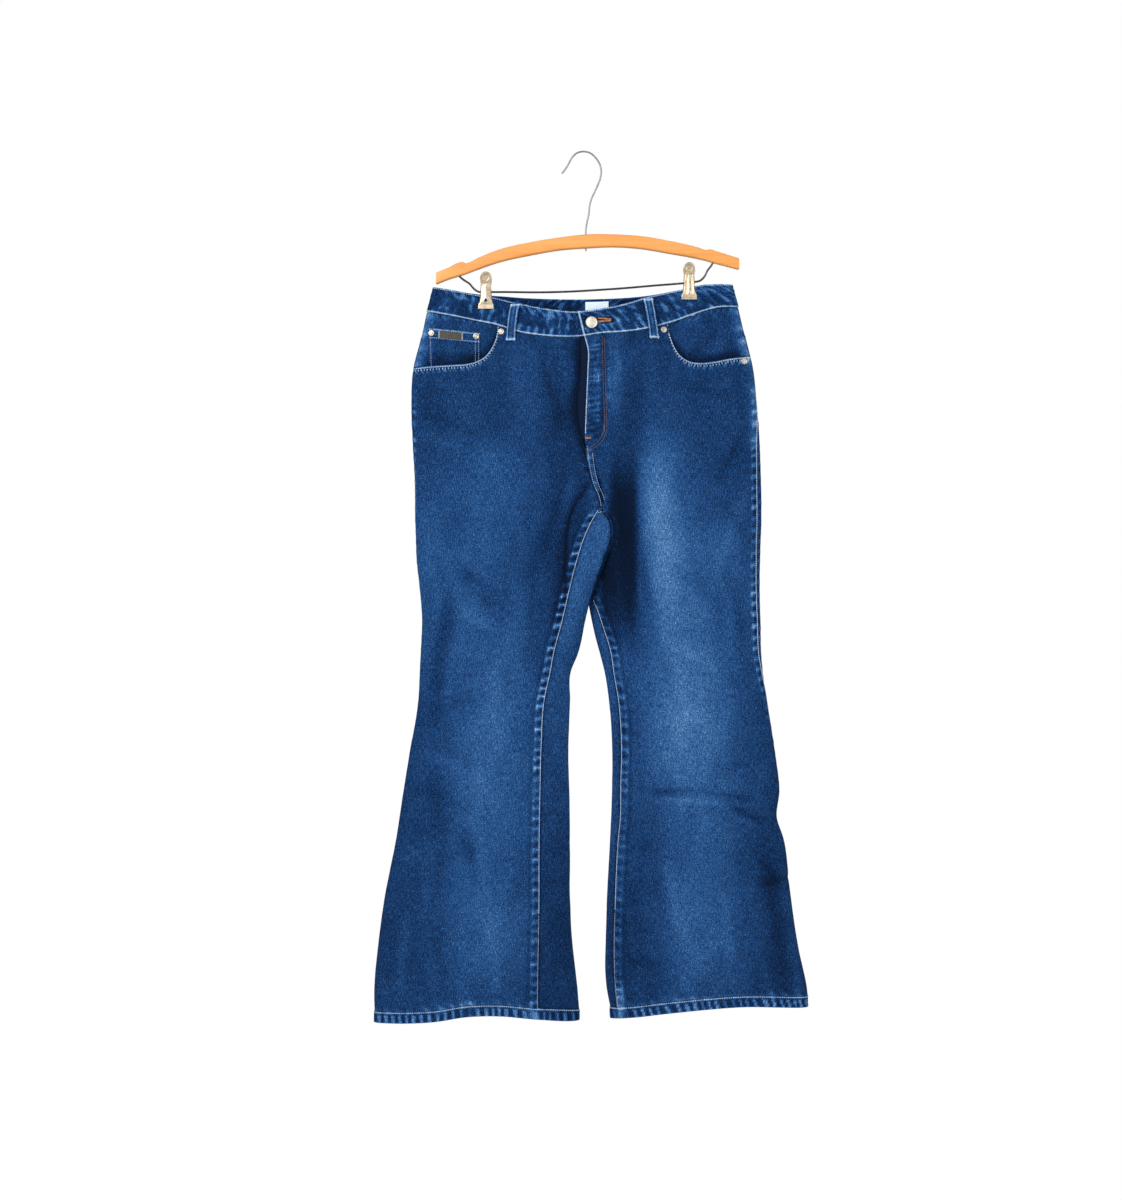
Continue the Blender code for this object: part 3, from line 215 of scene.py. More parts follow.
DENIM_CLOTH = 1.3
BAND_CLOTH = 2.4
HEM_CLOTH = 2.6
THIN_CLOTH = 1.0
SEAM_GAP = 0.3
HEM_HEIGHT = 16.5
COIN_BEHIND = 1.6
POCKET_ZONE = 360.0
CROTCH = 509.0
TAN_BELOW = 1085.0
LEG_IS_ROUND = 700.0
CREST = 0.8
LEG_LEAN = 8.0
NOISE_START = 1000
BACK_CENTRE = 20.0
BUTTON_PLACE = (12.0, 245.5)
BUTTONHOLE_PLACE = (31.0, 241.6)
CLIPS = (-138.7, 151.6)
PINCH_WIDTH = 40.0
PINCH_HALF_DEPTH = 1.7


def smooth(value: Array | float) -> Array:
    """Ease a value from 0 to 1."""
    value = np.clip(value, 0, 1)
    return value * value * (3 - 2 * value)


def bell(value: Array | float) -> Array:
    """A soft bump of height 1 about 0."""
    return np.exp(-np.square(value))


def run_along(points: Array, axis: int = 0) -> Array:
    """Distance from the first point, along the points.

    Args:
        points: The points.
        axis: The axis that they follow.

    Returns:
        The distance at each point.
    """
    step = np.linalg.norm(np.diff(points, axis=axis), axis=-1)
    first = 0 * np.take(step, [0], axis=axis)
    return np.concatenate([first, np.cumsum(step, axis=axis)], axis=axis)


def read_at(places: Array | float, run: Array, values: Array) -> Array:
    """Vectors read at places along a run."""
    return np.stack([np.interp(places, run, column) for column in values.T], axis=-1)


def unit(vectors: Array) -> Array:
    """Vectors of length 1 along the last axis."""
    return vectors / np.maximum(np.linalg.norm(vectors, axis=-1, keepdims=True), 1e-9)


def leg_share(drop: Array | float) -> Array:
    """How far a section has turned from half a body, 0, to a leg that closes inside, 1."""
    below = np.clip((drop - CROTCH) / (LEG_IS_ROUND - CROTCH), 0, 1)
    return np.sin(np.pi / 2 * below**1.25)


def profile(place: Array, drop: Array) -> tuple[Array, Array]:
    """Shares of the width and the depth round one wall.

    Args:
        place: 0 at the outer fold, 1 at the inner end, below 0 on the other wall.
        drop: Drops of the points.

    Returns:
        The share of the width and of the depth.
    """
    leg = leg_share(drop)
    angle = np.pi * np.abs(place)
    width = (1 - leg) * (1 - np.cos(angle / 2)) + leg * (1 - np.cos(angle)) / 2
    depth = (1 - leg) * np.sin(angle / 2) + leg * np.sin(angle)
    return width, np.sign(place) * np.maximum(depth, 0) ** CREST


def place_of(share: Array, drop: Array) -> Array:
    """The place round one wall that lies a share of the width in from the outer fold.

    Args:
        share: The share of the width.
        drop: Drops of the points.

    Returns:
        The place, below 0 where the share is.
    """
    low = np.zeros_like(share)
    high = low + 1 + 0.5 * (1 - leg_share(drop))
    for _ in range(30):
        middle = (low + high) / 2
        below = profile(middle, drop)[0] < np.abs(share)
        low = np.where(below, middle, low)
        high = np.where(below, high, middle)
    return np.sign(share) * (low + high) / 2


def wander(run: Array, pitch: float, seed: int) -> Array:
    """Smooth noise, -1 to 1, along a line.

    Args:
        run: Distance along the line.
        pitch: Distance between knots.
        seed: Which noise it is.

    Returns:
        The noise.
    """
    knots = np.random.default_rng(seed).uniform(-1, 1, 997)
    step = np.floor(run / pitch).astype(int)
    t = smooth(run / pitch - step)
    return knots[step % 997] * (1 - t) + knots[(step + 1) % 997] * t


def cloud(u: Array, v: Array, pitch_u: float, pitch_v: float, seed: int) -> Array:
    """Smooth noise, -1 to 1, over a surface.

    Args:
        u: Distance one way.
        v: Distance the other way.
        pitch_u: Distance between knots one way.
        pitch_v: And the other.
        seed: Which noise it is.

    Returns:
        The noise.
    """
    knots = np.random.default_rng(seed).uniform(-1, 1, (211, 223))
    i = np.floor(u / pitch_u).astype(int)
    j = np.floor(v / pitch_v).astype(int)
    s = smooth(u / pitch_u - i)
    t = smooth(v / pitch_v - j)
    corner = [[knots[(i + a) % 211, (j + b) % 223] for b in (0, 1)] for a in (0, 1)]
    near = corner[0][0] * (1 - t) + corner[0][1] * t
    far = corner[1][0] * (1 - t) + corner[1][1] * t
    return near * (1 - s) + far * s


def rope(run: Array, off: Array, pitch: float, lean: float, seed: int) -> Array:
    """Uneven ridges, 0 to 1, that cross a seam.

    Args:
        run: Distance along the seam.
        off: Distance from the seam.
        pitch: Distance between ridges.
        lean: How far a ridge runs along the seam for each step away from it.
        seed: Which noise makes them uneven.

    Returns:
        The height of the ridges.
    """
    phase = (run + lean * off) / pitch + 0.45 * wander(run, 2.3 * pitch, seed)
    ridge = (0.5 + 0.5 * np.cos(2 * np.pi * phase)) ** 1.4
    return ridge * (0.72 + 0.42 * wander(run + 0.6 * off, 1.6 * pitch, seed + 1))


def ladder(run: Array, off: Array, pitch: float, width: float, seed: int) -> Array:
    """Worn ticks with dark pits between them beside a seam, about -0.4 to 0.7.

    Args:
        run: Distance along the seam.
        off: Distance from it.
        pitch: Distance between ticks.
        width: How far from the seam they reach.
        seed: Which noise makes them uneven.

    Returns:
        How much the cloth stands out, and how worn it is.
    """
    phase = (run - 0.25 * off) / pitch + 0.42 * wander(run, 2.1 * pitch, seed)
    tick = (0.5 + 0.5 * np.cos(2 * np.pi * phase)) ** 2.2
    strength = 0.72 + 0.42 * wander(run, 1.3 * pitch, seed + 1)
    band = smooth((off - 1.0) / 1.2) * smooth((width + 1.5 - off) / 3.0)
    pit = bell((off - 0.4 * width) / (0.34 * width))
    rail = bell((off - width + 1.0) / 1.8) * (0.35 + tick)
    return strength * (band * (0.62 * tick - 0.36 * (1 - tick) * pit) + 0.22 * rail)


def trail(x: Array, drop: Array, points: Sequence[tuple[float, float]], width: float) -> Array:
    """A soft ridge of height 1 along a bent line.

    Args:
        x: x of the points.
        drop: Their drops.
        points: The line's corners, each an x and a drop.
        width: Half its width.

    Returns:
        The height at each point.
    """
    near = np.full(np.broadcast(x, drop).shape, 1e9)
    for (x1, drop1), (x2, drop2) in zip(points, points[1:]):
        across, down = x2 - x1, drop2 - drop1
        share = ((x - x1) * across + (drop - drop1) * down) / (across**2 + down**2)
        share = np.clip(share, 0, 1)
        away = np.hypot(x - x1 - share * across, drop - drop1 - share * down)
        near = np.minimum(near, away)
    return bell(near / width)


@dataclass
class Half:
    """One side of the jeans: half of the body above the crotch, and one leg below it."""

    name: str
    sign: int
    sizes: Table
    rise: Table
    mouth: Table

    def parting(self, drop: Array) -> Array:
        """Half the clearance between the two sides."""
        at_seam = (SEAM_GAP + DENIM_CLOTH + 0.6) / 2
        return at_seam * smooth((drop - CROTCH + 20) / 20) * (1 - smooth((drop - 640) / 60))

    def inner_end(self, wall: Wall, drop: Array) -> Array:
        """x where the wall ends inside: the body's middle, or the leg's inner corner.

        Args:
            wall: The wall.
            drop: Drops of the points.

        Returns:
            x at each drop.
        """
        fold = self.sizes.at("fold", drop)
        overlap = RIGHT.at("fold", drop) - LEFT.at("fold", drop)
        slant = np.maximum(overlap, 0) + 2.5 * smooth(overlap / 10)
        far_wall = Wall.BACK if self.sign < 0 else Wall.FRONT
        leg_end = fold + self.sign * np.where(drop > CROTCH, slant, 0) * (wall is far_wall)
        body_end = BODY.at(wall.value + "_middle", drop)
        return np.where(drop < CROTCH, body_end, leg_end + self.sign * self.parting(drop))

    def share_of(self, wall: Wall, x: Array, drop: Array) -> Array:
        """How far x lies across the wall from its outer fold."""
        edge = self.sizes.at("edge", drop)
        return (x - edge) / (self.inner_end(wall, drop) - edge)

    def place_at(self, wall: Wall, x: Array, drop: Array) -> Array:
        """The place round the wall of a point at x."""
        return place_of(self.share_of(wall, x, drop), drop)

    def point(self, wall: Wall, place: Array, drop: Array) -> Array:
        """Points on the middle of the cloth.

        Args:
            wall: The wall that places are counted on.
            place: 0 at the outer fold, 1 at the inner end; below 0 it is on the other wall.
            drop: Drops of the points.

        Returns:
            Their x, y and z in millimetres.
        """
        edge = self.sizes.at("edge", drop)
        width, depth = profile(place, drop)
        near = place >= 0
        inner_end = np.where(near, self.inner_end(wall, drop), self.inner_end(wall.other, drop))
        own = BODY.at(wall.value + "_depth", drop)
        reach = np.where(near, own, BODY.at(wall.other.value + "_depth", drop))
        x = edge + (inner_end - edge) * width
        y = wall.facing * reach * depth
        lean = LEG_LEAN * np.sin(np.pi * np.clip((drop - CROTCH) / 250, 0, 1)) ** 2
        y = y + self.sign * lean * smooth((place - 0.45) / 0.55)
        held = 1 - smooth((drop - 222) / 65)
        pinch = held * sum(bell(((x - clip) / PINCH_WIDTH) ** 2) for clip in CLIPS)
        y = y * (1 - pinch) + wall.facing * PINCH_HALF_DEPTH * pinch
        return np.stack([x, y, -drop + 0 * x], axis=-1)

    def outseam(self, wall: Wall, drop: Array) -> Array:
        """The outseam's place, counted on one wall."""
        return self.sizes.at("outseam", drop) * (1 if wall is Wall.FRONT else -1)

    def inseam(self, drop: Array) -> Array:
        """The inner edge's place on the front: the rise above the crotch, the inseam below.

        Args:
            drop: Drops of the points.

        Returns:
            The place at each drop.
        """
        share = self.share_of(Wall.FRONT, self.sizes.at("inseam", drop), drop)
        below = place_of(np.minimum(share, 1), drop)
        above = self.place_at(Wall.FRONT, self.rise.at("x", drop), drop)
        return np.where(drop < CROTCH, above, np.where(drop < CROTCH + 0.01, 1.0, below))

    def drops_on(self, line: Table, wall: Wall, place: Array) -> Array:
        """Where columns of fixed place cross a seam above the crotch.

        Args:
            line: The seam, by x.
            wall: The wall.
            place: The columns' places.

        Returns:
            One drop for each column.
        """
        share = profile(place, 250.0)[0]
        drop = np.full_like(share, 250.0)
        for _ in range(5):
            edge = self.sizes.at("edge", drop)
            drop = line.at("drop", edge + (self.inner_end(wall, drop) - edge) * share)
        return drop


SIDES = {
    "right": Half("right", -1, RIGHT, RIGHT_RISE, RIGHT_MOUTH),
    "left": Half("left", 1, LEFT, LEFT_RISE, LEFT_MOUTH),
}


def folds_at(half: Half, wall: Wall, x: Array, drop: Array) -> Array:
    """How far the large folds stand out, dying out near the leg's edges.

    Args:
        half: The side of the jeans.
        wall: The wall that the points lie on.
        x: Their x.
        drop: Their drops.

    Returns:
        Heights out of the cloth, in millimetres.
    """
    from_edge = np.abs(x - half.sizes.at("edge", drop))
    from_fold = np.abs(x - half.inner_end(Wall.FRONT, drop))
    near_fold = np.where(drop < CROTCH, 1, smooth((from_fold - 2) / 10))
    return creases_at(FOLDS[wall], x, drop) * smooth((from_edge - 7) / 12) * near_fold


def creases_at(table: Table, x: Array, drop: Array) -> Array:
    """The heights of a table's soft ridges, each along a line and fading past its ends.

    Args:
        table: The ridges.
        x: x of the points.
        drop: Their drops.

    Returns:
        The height at each point.
    """
    total = np.zeros(np.broadcast(x, drop).shape)
    for x1, drop1, x2, drop2, width, rise in table.rows:
        across, down = x2 - x1, drop2 - drop1
        length = np.hypot(across, down)
        share = ((x - x1) * across + (drop - drop1) * down) / length**2
        aside = ((x - x1) * down - (drop - drop1) * across) / length
        fade = smooth((share + 0.25) / 0.5) * smooth((1.25 - share) / 0.5)
        total += rise * fade * bell(aside / width)
    return total


# ---------------------------------------------------------------- finishes


class Board:
    """One material's nodes, added and linked in the order that light reads them."""

    def __init__(self, name: str) -> None:
        """Start a material with its shader.

        Args:
            name: The material's name.
        """
        self.material = bpy.data.materials.new(name)
        self.material.use_nodes = True
        self.nodes = self.material.node_tree.nodes
        self.shader = self.nodes["Principled BSDF"]

    def add(self, kind: str, **settings: object) -> bpy.types.Node:
        """Add a node.

        Args:
            kind: The node's type.
            settings: Its properties, or values of its inputs by name with _ for spaces.

        Returns:
            The node.
        """
        node = self.nodes.new(kind)
        for name, value in settings.items():
            title = name.replace("_", " ")
            if title in node.inputs:
                node.inputs[title].default_value = value
            else:
                setattr(node, name, value)
        return node

    def join(self, source: Socket, target: Socket | str) -> None:
        """Link an output to an input, or to a named one of the shader."""
        target = self.shader.inputs[target] if isinstance(target, str) else target
        self.material.node_tree.links.new(source, target)

    def noise(self, vector: Socket, scale: Colour, detail: float = 3.0, rough: float = 0.55
              ) -> Socket:
        """Noise stretched to a scale along each axis of a coordinate.

        Args:
            vector: The coordinate.
            scale: Cells in a metre along each axis.
            detail: The noise's octaves.
            rough: How strong its fine octaves are.

        Returns:
            The noise's value.
        """
        mapping = self.add("ShaderNodeMapping", Scale=tuple(scale))
        self.join(vector, mapping.inputs["Vector"])
        texture = self.add("ShaderNodeTexNoise", Scale=1.0, Detail=detail, Roughness=rough)
        self.join(mapping.outputs["Vector"], texture.inputs["Vector"])
        return texture.outputs["Fac"]

    def math(self, operation: str, first: Socket, second: Socket | float) -> Socket:
        """A sum of two values.

        Args:
            operation: Which sum.
            first: A socket.
            second: A socket or a number.

        Returns:
            The result.
        """
        node = self.add("ShaderNodeMath", operation=operation)
        self.join(first, node.inputs[0])
        if isinstance(second, Socket):
            self.join(second, node.inputs[1])
        else:
            node.inputs[1].default_value = second
        return node.outputs[0]

    def swing(self, value: Socket, amount: float) -> Socket:
        """A noise's value moved to swing about 0 by an amount each way."""
        return self.math("MULTIPLY", self.math("SUBTRACT", value, 0.5), 2 * amount)

    def paint(self, value: Socket, stops: Stops) -> None:
        """Colour the surface along a value.

        Args:
            value: The value, 0 to 1.
            stops: Places, rising, with their colours.
        """
        node = self.add("ShaderNodeValToRGB")
        elements = node.color_ramp.elements
        while len(elements) < len(stops):
            elements.new(1.0)
        for element, (place, colour) in zip(elements, stops):
            element.position = place
            element.color = (*colour, 1.0)
        self.join(value, node.inputs["Fac"])
        self.join(node.outputs["Color"], "Base Color")

    def bump(self, height: Socket, distance: float, strength: float) -> None:
        """Raise the surface.

        Args:
            height: A value.
            distance: How high a value of 1 stands, in metres.
            strength: How much of it shows.
        """
        node = self.add("ShaderNodeBump", Distance=distance, Strength=strength)
        self.join(height, node.inputs["Height"])
        self.join(node.outputs["Normal"], "Normal")

    def set(self, **values: object) -> None:
        """Set the shader's own sockets by name, with _ for spaces."""
        for name, value in values.items():
            self.shader.inputs[name.replace("_", " ")].default_value = value


@dataclass(frozen=True)
class Denim:
    """Washed indigo twill, dark to faded by each point's wash value, which also holds painted shade
    and painted highlights, with slubs and specks.
    """

    name: str = "denim"
    twill_pitch: float = 0.0011
    stops: Stops = (
        (0.0, (0.0015, 0.006, 0.020)),
        (0.25, (0.0040, 0.0240, 0.088)),
        (0.5, (0.0170, 0.076, 0.226)),
        (0.75, (0.070, 0.192, 0.405)),
        (1.0, (0.340, 0.480, 0.640)),
    )

    def material(self) -> bpy.types.Material:
        """Build the cloth's nodes on its own UV map, whose units are metres along the cloth.

        Returns:
            The material.
        """
        board = Board(self.name)
        uv = board.add("ShaderNodeUVMap", uv_map="cloth").outputs["UV"]
        # The wash attribute mixes the cloth's worn tone with painted shade and painted highlights.
        wash = board.add("ShaderNodeAttribute", attribute_name="wash").outputs["Fac"]
        slub = board.noise(uv, (850, 130, 1), 3.0, 0.6)
        speck = board.noise(uv, (1150, 850, 1), 2.0, 0.7)
        grain = board.noise(uv, (680, 470, 1), 2.0, 0.7)
        patch = board.noise(uv, (60, 22, 1), 4.0, 0.6)
        diagonal = board.add("ShaderNodeMapping", Rotation=(0, 0, 0.85))
        board.join(uv, diagonal.inputs["Vector"])
        twill = board.add(
            "ShaderNodeTexWave", wave_type="BANDS", bands_direction="X",
            Scale=0.314 / self.twill_pitch, Distortion=0.6, Detail=1.0, Detail_Scale=1.5,
        )
        board.join(diagonal.outputs["Vector"], twill.inputs["Vector"])
        value = board.math("ADD", wash, board.swing(twill.outputs["Fac"], 0.035))
        for part, amount in ((slub, 0.44), (speck, 0.40), (grain, 0.54), (patch, 0.12)):
            value = board.math("ADD", value, board.swing(part, amount))
        board.paint(value, self.stops)
        board.set(Roughness=0.92, Sheen_Weight=0.02, Sheen_Roughness=0.5, Specular_IOR_Level=0.05)
        height = board.math("ADD", board.math("MULTIPLY", twill.outputs["Fac"], 0.5), slub)
        height = board.math("ADD", height, board.math("MULTIPLY", speck, 0.6))
        board.bump(height, 0.0004, 0.6)
        return board.material


@dataclass(frozen=True)
class Grained:
    """A finish of mixed noises, which colour it, swing its gloss and raise it a little.

    A noise is its scale, detail, roughness and share in the colour. The relief is which noise
    raises the surface, how far in metres, and how much of that shows.
    """

    name: str
    stops: Stops
    noises: tuple[tuple[Colour, float, float, float], ...]
    sockets: dict[str, float]
    relief: tuple[int, float, float]
    gloss_swing: float = 0.0
    on_cloth: bool = False

    def material(self) -> bpy.types.Material:
        """Build its nodes on object coordinates, or on the cloth's own UV map.

        Returns:
            The material.
        """
        board = Board(self.name)
        if self.on_cloth:
            spot = board.add("ShaderNodeUVMap", uv_map="cloth").outputs["UV"]
        else:
            spot = board.add("ShaderNodeTexCoord").outputs["Object"]
        grains, mixed = [], None
        for scale, detail, rough, share in self.noises:
            grains.append(board.noise(spot, scale, detail, rough))
            if share:
                part = board.math("MULTIPLY", grains[-1], share)
                mixed = board.math("ADD", mixed, part) if mixed else part
        board.paint(mixed, self.stops)
        board.set(**self.sockets)
        if self.gloss_swing:
            gloss = board.swing(grains[0], self.gloss_swing)
            board.join(board.math("ADD", gloss, self.sockets["Roughness"]), "Roughness")
        raised, distance, strength = self.relief
        board.bump(grains[raised], distance, strength)
        return board.material


THREAD_NOISES = (((320, 320, 320), 2.0, 0.6, 1.0), ((2600, 2600, 1300), 1.0, 0.5, 0.0))
THREAD_SOCKETS = {"Roughness": 0.75, "Sheen_Weight": 0.08, "Specular_IOR_Level": 0.2}


def thread(name: str, dark: Colour, light: Colour) -> Grained:
    """Cotton thread with a faint twist along each stitch."""
    stops = ((0.3, dark), (0.62, light))
    return Grained(name, stops, THREAD_NOISES, THREAD_SOCKETS, (1, 0.0001, 0.5))


def metal(name: str, colour: Colour, scuffed: Colour, roughness: float,
          grain: Colour = (500, 500, 500)) -> Grained:
    """Worn sheet or cast metal, darker in its fine scuffs.

    Args:
        name: The finish's name.
        colour: The clean metal.
        scuffed: The metal in its scuffs.
        roughness: How dull it is.
        grain: Scuffs in a metre along each axis.

    Returns:
        The finish.
    """
    return Grained(name, ((0.36, scuffed), (0.56, colour)),
                   ((grain, 4.0, 0.65, 0.5), ((140, 140, 140), 3.0, 0.5, 0.5)),
                   {"Roughness": roughness, "Metallic": 1.0}, (0, 0.00008, 0.35), 0.12)


def plain(name: str, dark: Colour, light: Colour, roughness: float, grain: Colour,
          depth: float = 0.0002) -> Grained:
    """A woven or pressed surface of one colour.

    Args:
        name: The finish's name.
        dark: Its darker grains.
        light: Its lighter ones.
        roughness: How dull it is.
        grain: Grains in a metre along each axis.
        depth: How far they stand out, in metres.

    Returns:
        The finish.
    """
    return Grained(name, ((0.35, dark), (0.65, light)), ((grain, 4.0, 0.6, 1.0),),
                   {"Roughness": roughness, "Specular_IOR_Level": 0.15}, (0, depth, 0.5),
                   on_cloth=True)


DENIM = Denim()
PALE_THREAD = thread("thread_pale", (0.28, 0.38, 0.52), (0.62, 0.71, 0.82))
TAN_THREAD = thread("thread_tan", (0.16, 0.17, 0.19), (0.46, 0.43, 0.39))
BROWN_THREAD = thread("thread_brown", (0.075, 0.055, 0.070), (0.17, 0.115, 0.115))
ORANGE_THREAD = thread("thread_orange", (0.30, 0.11, 0.03), (0.56, 0.23, 0.07))
NICKEL = metal("nickel", (0.62, 0.56, 0.47), (0.30, 0.26, 0.22), 0.46)
BUTTON_NICKEL = metal("button_nickel", (0.74, 0.71, 0.63), (0.46, 0.43, 0.37), 0.55)
CLIP_BRASS = metal("clip_brass", (0.70, 0.58, 0.43), (0.40, 0.30, 0.20), 0.46, (260, 260, 900))
BAR_STEEL = metal("bar_wire", (0.115, 0.10, 0.115), (0.055, 0.05, 0.06), 0.38)
HOOK_STEEL = metal("hook_wire", (0.33, 0.33, 0.35), (0.20, 0.20, 0.21), 0.5)
BEECH = Grained(
    "beech",
    ((0.34, (0.66, 0.235, 0.048)), (0.50, (0.80, 0.315, 0.072)), (0.66, (0.88, 0.375, 0.098))),
    (((9, 160, 190), 5.0, 0.6, 0.5), ((3, 30, 42), 2.0, 0.5, 0.4),
     ((90, 900, 900), 2.0, 0.5, 0.12)),
    {"Roughness": 0.45, "Coat_Weight": 0.25, "Coat_Roughness": 0.3}, (0, 0.0002, 0.25),
)
# The zip tape's near-black colour is painted shade for the fly's gap.
TAPE_PAINTED_SHADE = plain("zip_tape", (0.0006, 0.0034, 0.0150), (0.0018, 0.0100, 0.0400), 0.9, (900, 900, 1))
SATIN = plain("label_satin", (0.62, 0.74, 0.84), (0.80, 0.90, 0.96), 0.5, (120, 900, 1), 0.0001)
LEATHER = plain("plate_leather", (0.036, 0.034, 0.025), (0.085, 0.080, 0.060), 0.55, (420, 420, 1))


@dataclass
class Finishes:
    """The materials that the pieces share, each made the first time it is asked for."""

    made: dict[str, bpy.types.Material] = field(default_factory=dict)

    def of(self, finish: Denim | Grained) -> bpy.types.Material:
        """The material of a finish, made if it is new.

        Args:
            finish: The finish.

        Returns:
            Its material.
        """
        if finish.name not in self.made:
            self.made[finish.name] = finish.material()
        return self.made[finish.name]


FINISHES = Finishes()


def settle(obj: bpy.types.Object, finish: Denim | Grained, slot: str, *nodes: str) -> None:
    """Give a finished piece its material and its body, and hide the nodes that it stands for.

    Args:
        obj: The piece.
        finish: Its finish.
        slot: The record's material slot; not used.
        nodes: Names of the nodes it replaces.
    """
    obj.data.materials.clear()
    obj.data.materials.append(FINISHES.of(finish))
    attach(obj, "root")
    if nodes:
        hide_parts(*nodes)
    LOG.info("%s: %d faces", obj.name, len(obj.data.polygons))


def smooth_mesh(name: str, points: Array, faces: Sequence[Sequence[int]]) -> bpy.types.Object:
    """An object with a smooth mesh whose faces all look one way.

    Args:
        name: The piece's name.
        points: Its points in millimetres.
        faces: Numbers of each face's corners.

    Returns:
        The object.
    """
    mesh = bpy.data.meshes.new(name)
    mesh.from_pydata((points * MM).tolist(), [], faces)
    work = bmesh.new()
    work.from_mesh(mesh)
    bmesh.ops.recalc_face_normals(work, faces=work.faces)
    work.to_mesh(mesh)
    work.free()
    mesh.shade_smooth()
    obj = bpy.data.objects.new(name, mesh)
    bpy.context.scene.collection.objects.link(obj)
    return obj


# ---------------------------------------------------------------- cloth


@dataclass
class Cloth:
    """A piece of cloth: rows of points that run down, columns that run round, and what is on it."""

    name: str
    grid: Array
    normal: Array
    thickness: float
    lift: Array = field(init=False)
    wash: Array = field(init=False)
    present: Array | None = None
    inner_wash: float = 0.12
    rounded: tuple[Edge, ...] = ()
    round_radius: float = 1.1
    shift: float = 0.0

    def __post_init__(self) -> None:
        """Start flat and mid-blue."""
        shape = self.grid.shape[:2]
        self.lift = np.full(shape, float(self.shift))
        self.wash = np.full(shape, 0.42)
        self.present = np.ones(shape, bool) if self.present is None else self.present

    @property
    def x(self) -> Array:
        """x of each point."""
        return self.grid[..., 0]

    @property
    def drop(self) -> Array:
        """Drop of each point."""
        return -self.grid[..., 2]

    def from_edge(self, edge: Edge) -> Array:
        """Distance of each point from one edge, along its row or column.

        Args:
            edge: The edge.

        Returns:
            The distances.
        """
        axis = 1 if edge in (Edge.START, Edge.END) else 0
        run = run_along(self.grid, axis)
        return run if edge in (Edge.START, Edge.TOP) else np.take(run, [-1], axis=axis) - run

    def surface(self) -> Array:
        """The middle of the cloth with all that lifts it."""
        return self.grid + self.normal * self.lift[..., None]

    def outside(self) -> Array:
        """The cloth's outer face."""
        return self.surface() + self.normal * (self.thickness / 2)

    def edge_line(self, edge: Edge, inset: float, low: float = -1e9, high: float = 1e9) -> "Line":
        """A line on the outer face that keeps one distance from an edge.

        Args:
            edge: The edge.
            inset: How far in the line lies.
            low: The least drop it covers.
            high: The greatest.

        Returns:
            The line.
        """
        away, both = self.from_edge(edge), np.concatenate([self.outside(), self.normal], axis=-1)
        if edge in (Edge.TOP, Edge.FOOT):
            away, both = away.T, both.swapaxes(0, 1)
        found = []
        for distance, row in zip(away, both):
            order = np.argsort(distance)
            found.append(read_at(inset, distance[order], row[order]))
        points, ups = np.split(np.array(found), 2, axis=1)
        kept = (-points[:, 2] >= low) & (-points[:, 2] <= high)
        if edge is Edge.START:
            kept &= self.present[:, 0]
        return Line(points[kept], unit(ups)[kept])

    def line_through(self, x: Array, drop: Array, among: Array | bool = True) -> "Line":
        """A line on the outer face through points given by x and drop.

        Args:
            x: x of the points.
            drop: Their drops.
            among: Which points of the cloth it may lie on.

        Returns:
            The line, found from the nearest points of the cloth.
        """
        shown = self.present & among
        outer, normal = self.outside()[shown], self.normal[shown]
        points, ups = [], []
        for px, pd in zip(x, drop):
            apart = (outer[:, 0] - px) ** 2 + (outer[:, 2] + pd) ** 2
            near = np.argpartition(apart, 4)[:4]
            weight = 1 / (apart[near] + 0.05)
            points.append((px, (outer[near, 1] * weight).sum() / weight.sum(), -pd))
            ups.append((normal[near] * weight[:, None]).sum(axis=0))
        return Line(np.array(points), unit(np.array(ups)))

    def shell(self) -> bpy.types.Object:
        """The closed shell, with its wash value, worn tone mixed with painted shade and painted
        highlights, and a UV map whose units are metres along the cloth.

        Returns:
            The object.
        """
        half = np.full(self.grid.shape[:2], self.thickness / 2)
        for edge in self.rounded:
            away = np.clip(self.from_edge(edge) / self.round_radius, 0, 1)
            half = np.minimum(half, self.thickness / 2 * np.sqrt(1 - 0.94 * (1 - away) ** 2))
        middle, out = self.surface()[self.present], (self.normal * half[..., None])[self.present]
        faces, count = quads(self.present), len(middle)
        edges = np.concatenate([faces[:, (k, (k + 1) % 4)] for k in range(4)])
        ahead, back = (edges[:, k].astype(np.int64) * count + edges[:, 1 - k] for k in (0, 1))
        free = edges[~np.isin(ahead, back)]
        rim = np.stack([free[:, 1], free[:, 0], free[:, 0] + count, free[:, 1] + count], axis=1)
        all_faces = np.concatenate([faces, faces[:, ::-1] + count, rim]).tolist()
        points = np.concatenate([middle + out, middle - out])
        obj = smooth_mesh(f"{self.name}_cloth", points, all_faces)
        mesh, shade = obj.data, self.wash[self.present]
        both = np.concatenate([shade, shade + self.inner_wash]).astype(np.float32)
        # Wash values: worn tone together with painted shade and painted highlights.
        mesh.attributes.new("wash", "FLOAT", "POINT").data.foreach_set("value", both)
        flat = np.stack([run_along(self.grid, 1), run_along(self.grid) + self.drop[:1]], axis=-1)
        flat = np.tile(flat[self.present] * MM, (2, 1)).astype(np.float32)
        corners = np.empty(len(mesh.loops), np.int32)
        mesh.loops.foreach_get("vertex_index", corners)
        mesh.uv_layers.new(name="cloth").data.foreach_set("uv", flat[corners].ravel())
        return obj

    def hang(self, flat: tuple[float, float], above: str, area: float | None = None,
             held: str = "hung", finish: Denim | Grained = DENIM, slot: str = "denim") -> None:
        """Make the shell, give it its finish, and hide the node that it stands for.

        Args:
            flat: Width and length of the cut, in metres; not used.
            above: The node that it hangs from or lies on; not used.
            area: The cut's area, where it isn't a rectangle; not used.
            held: How it is held; not used.
            finish: The cloth's finish.
            slot: The record's slot.
        """
        obj = self.shell()
        settle(obj, finish, slot, self.name)


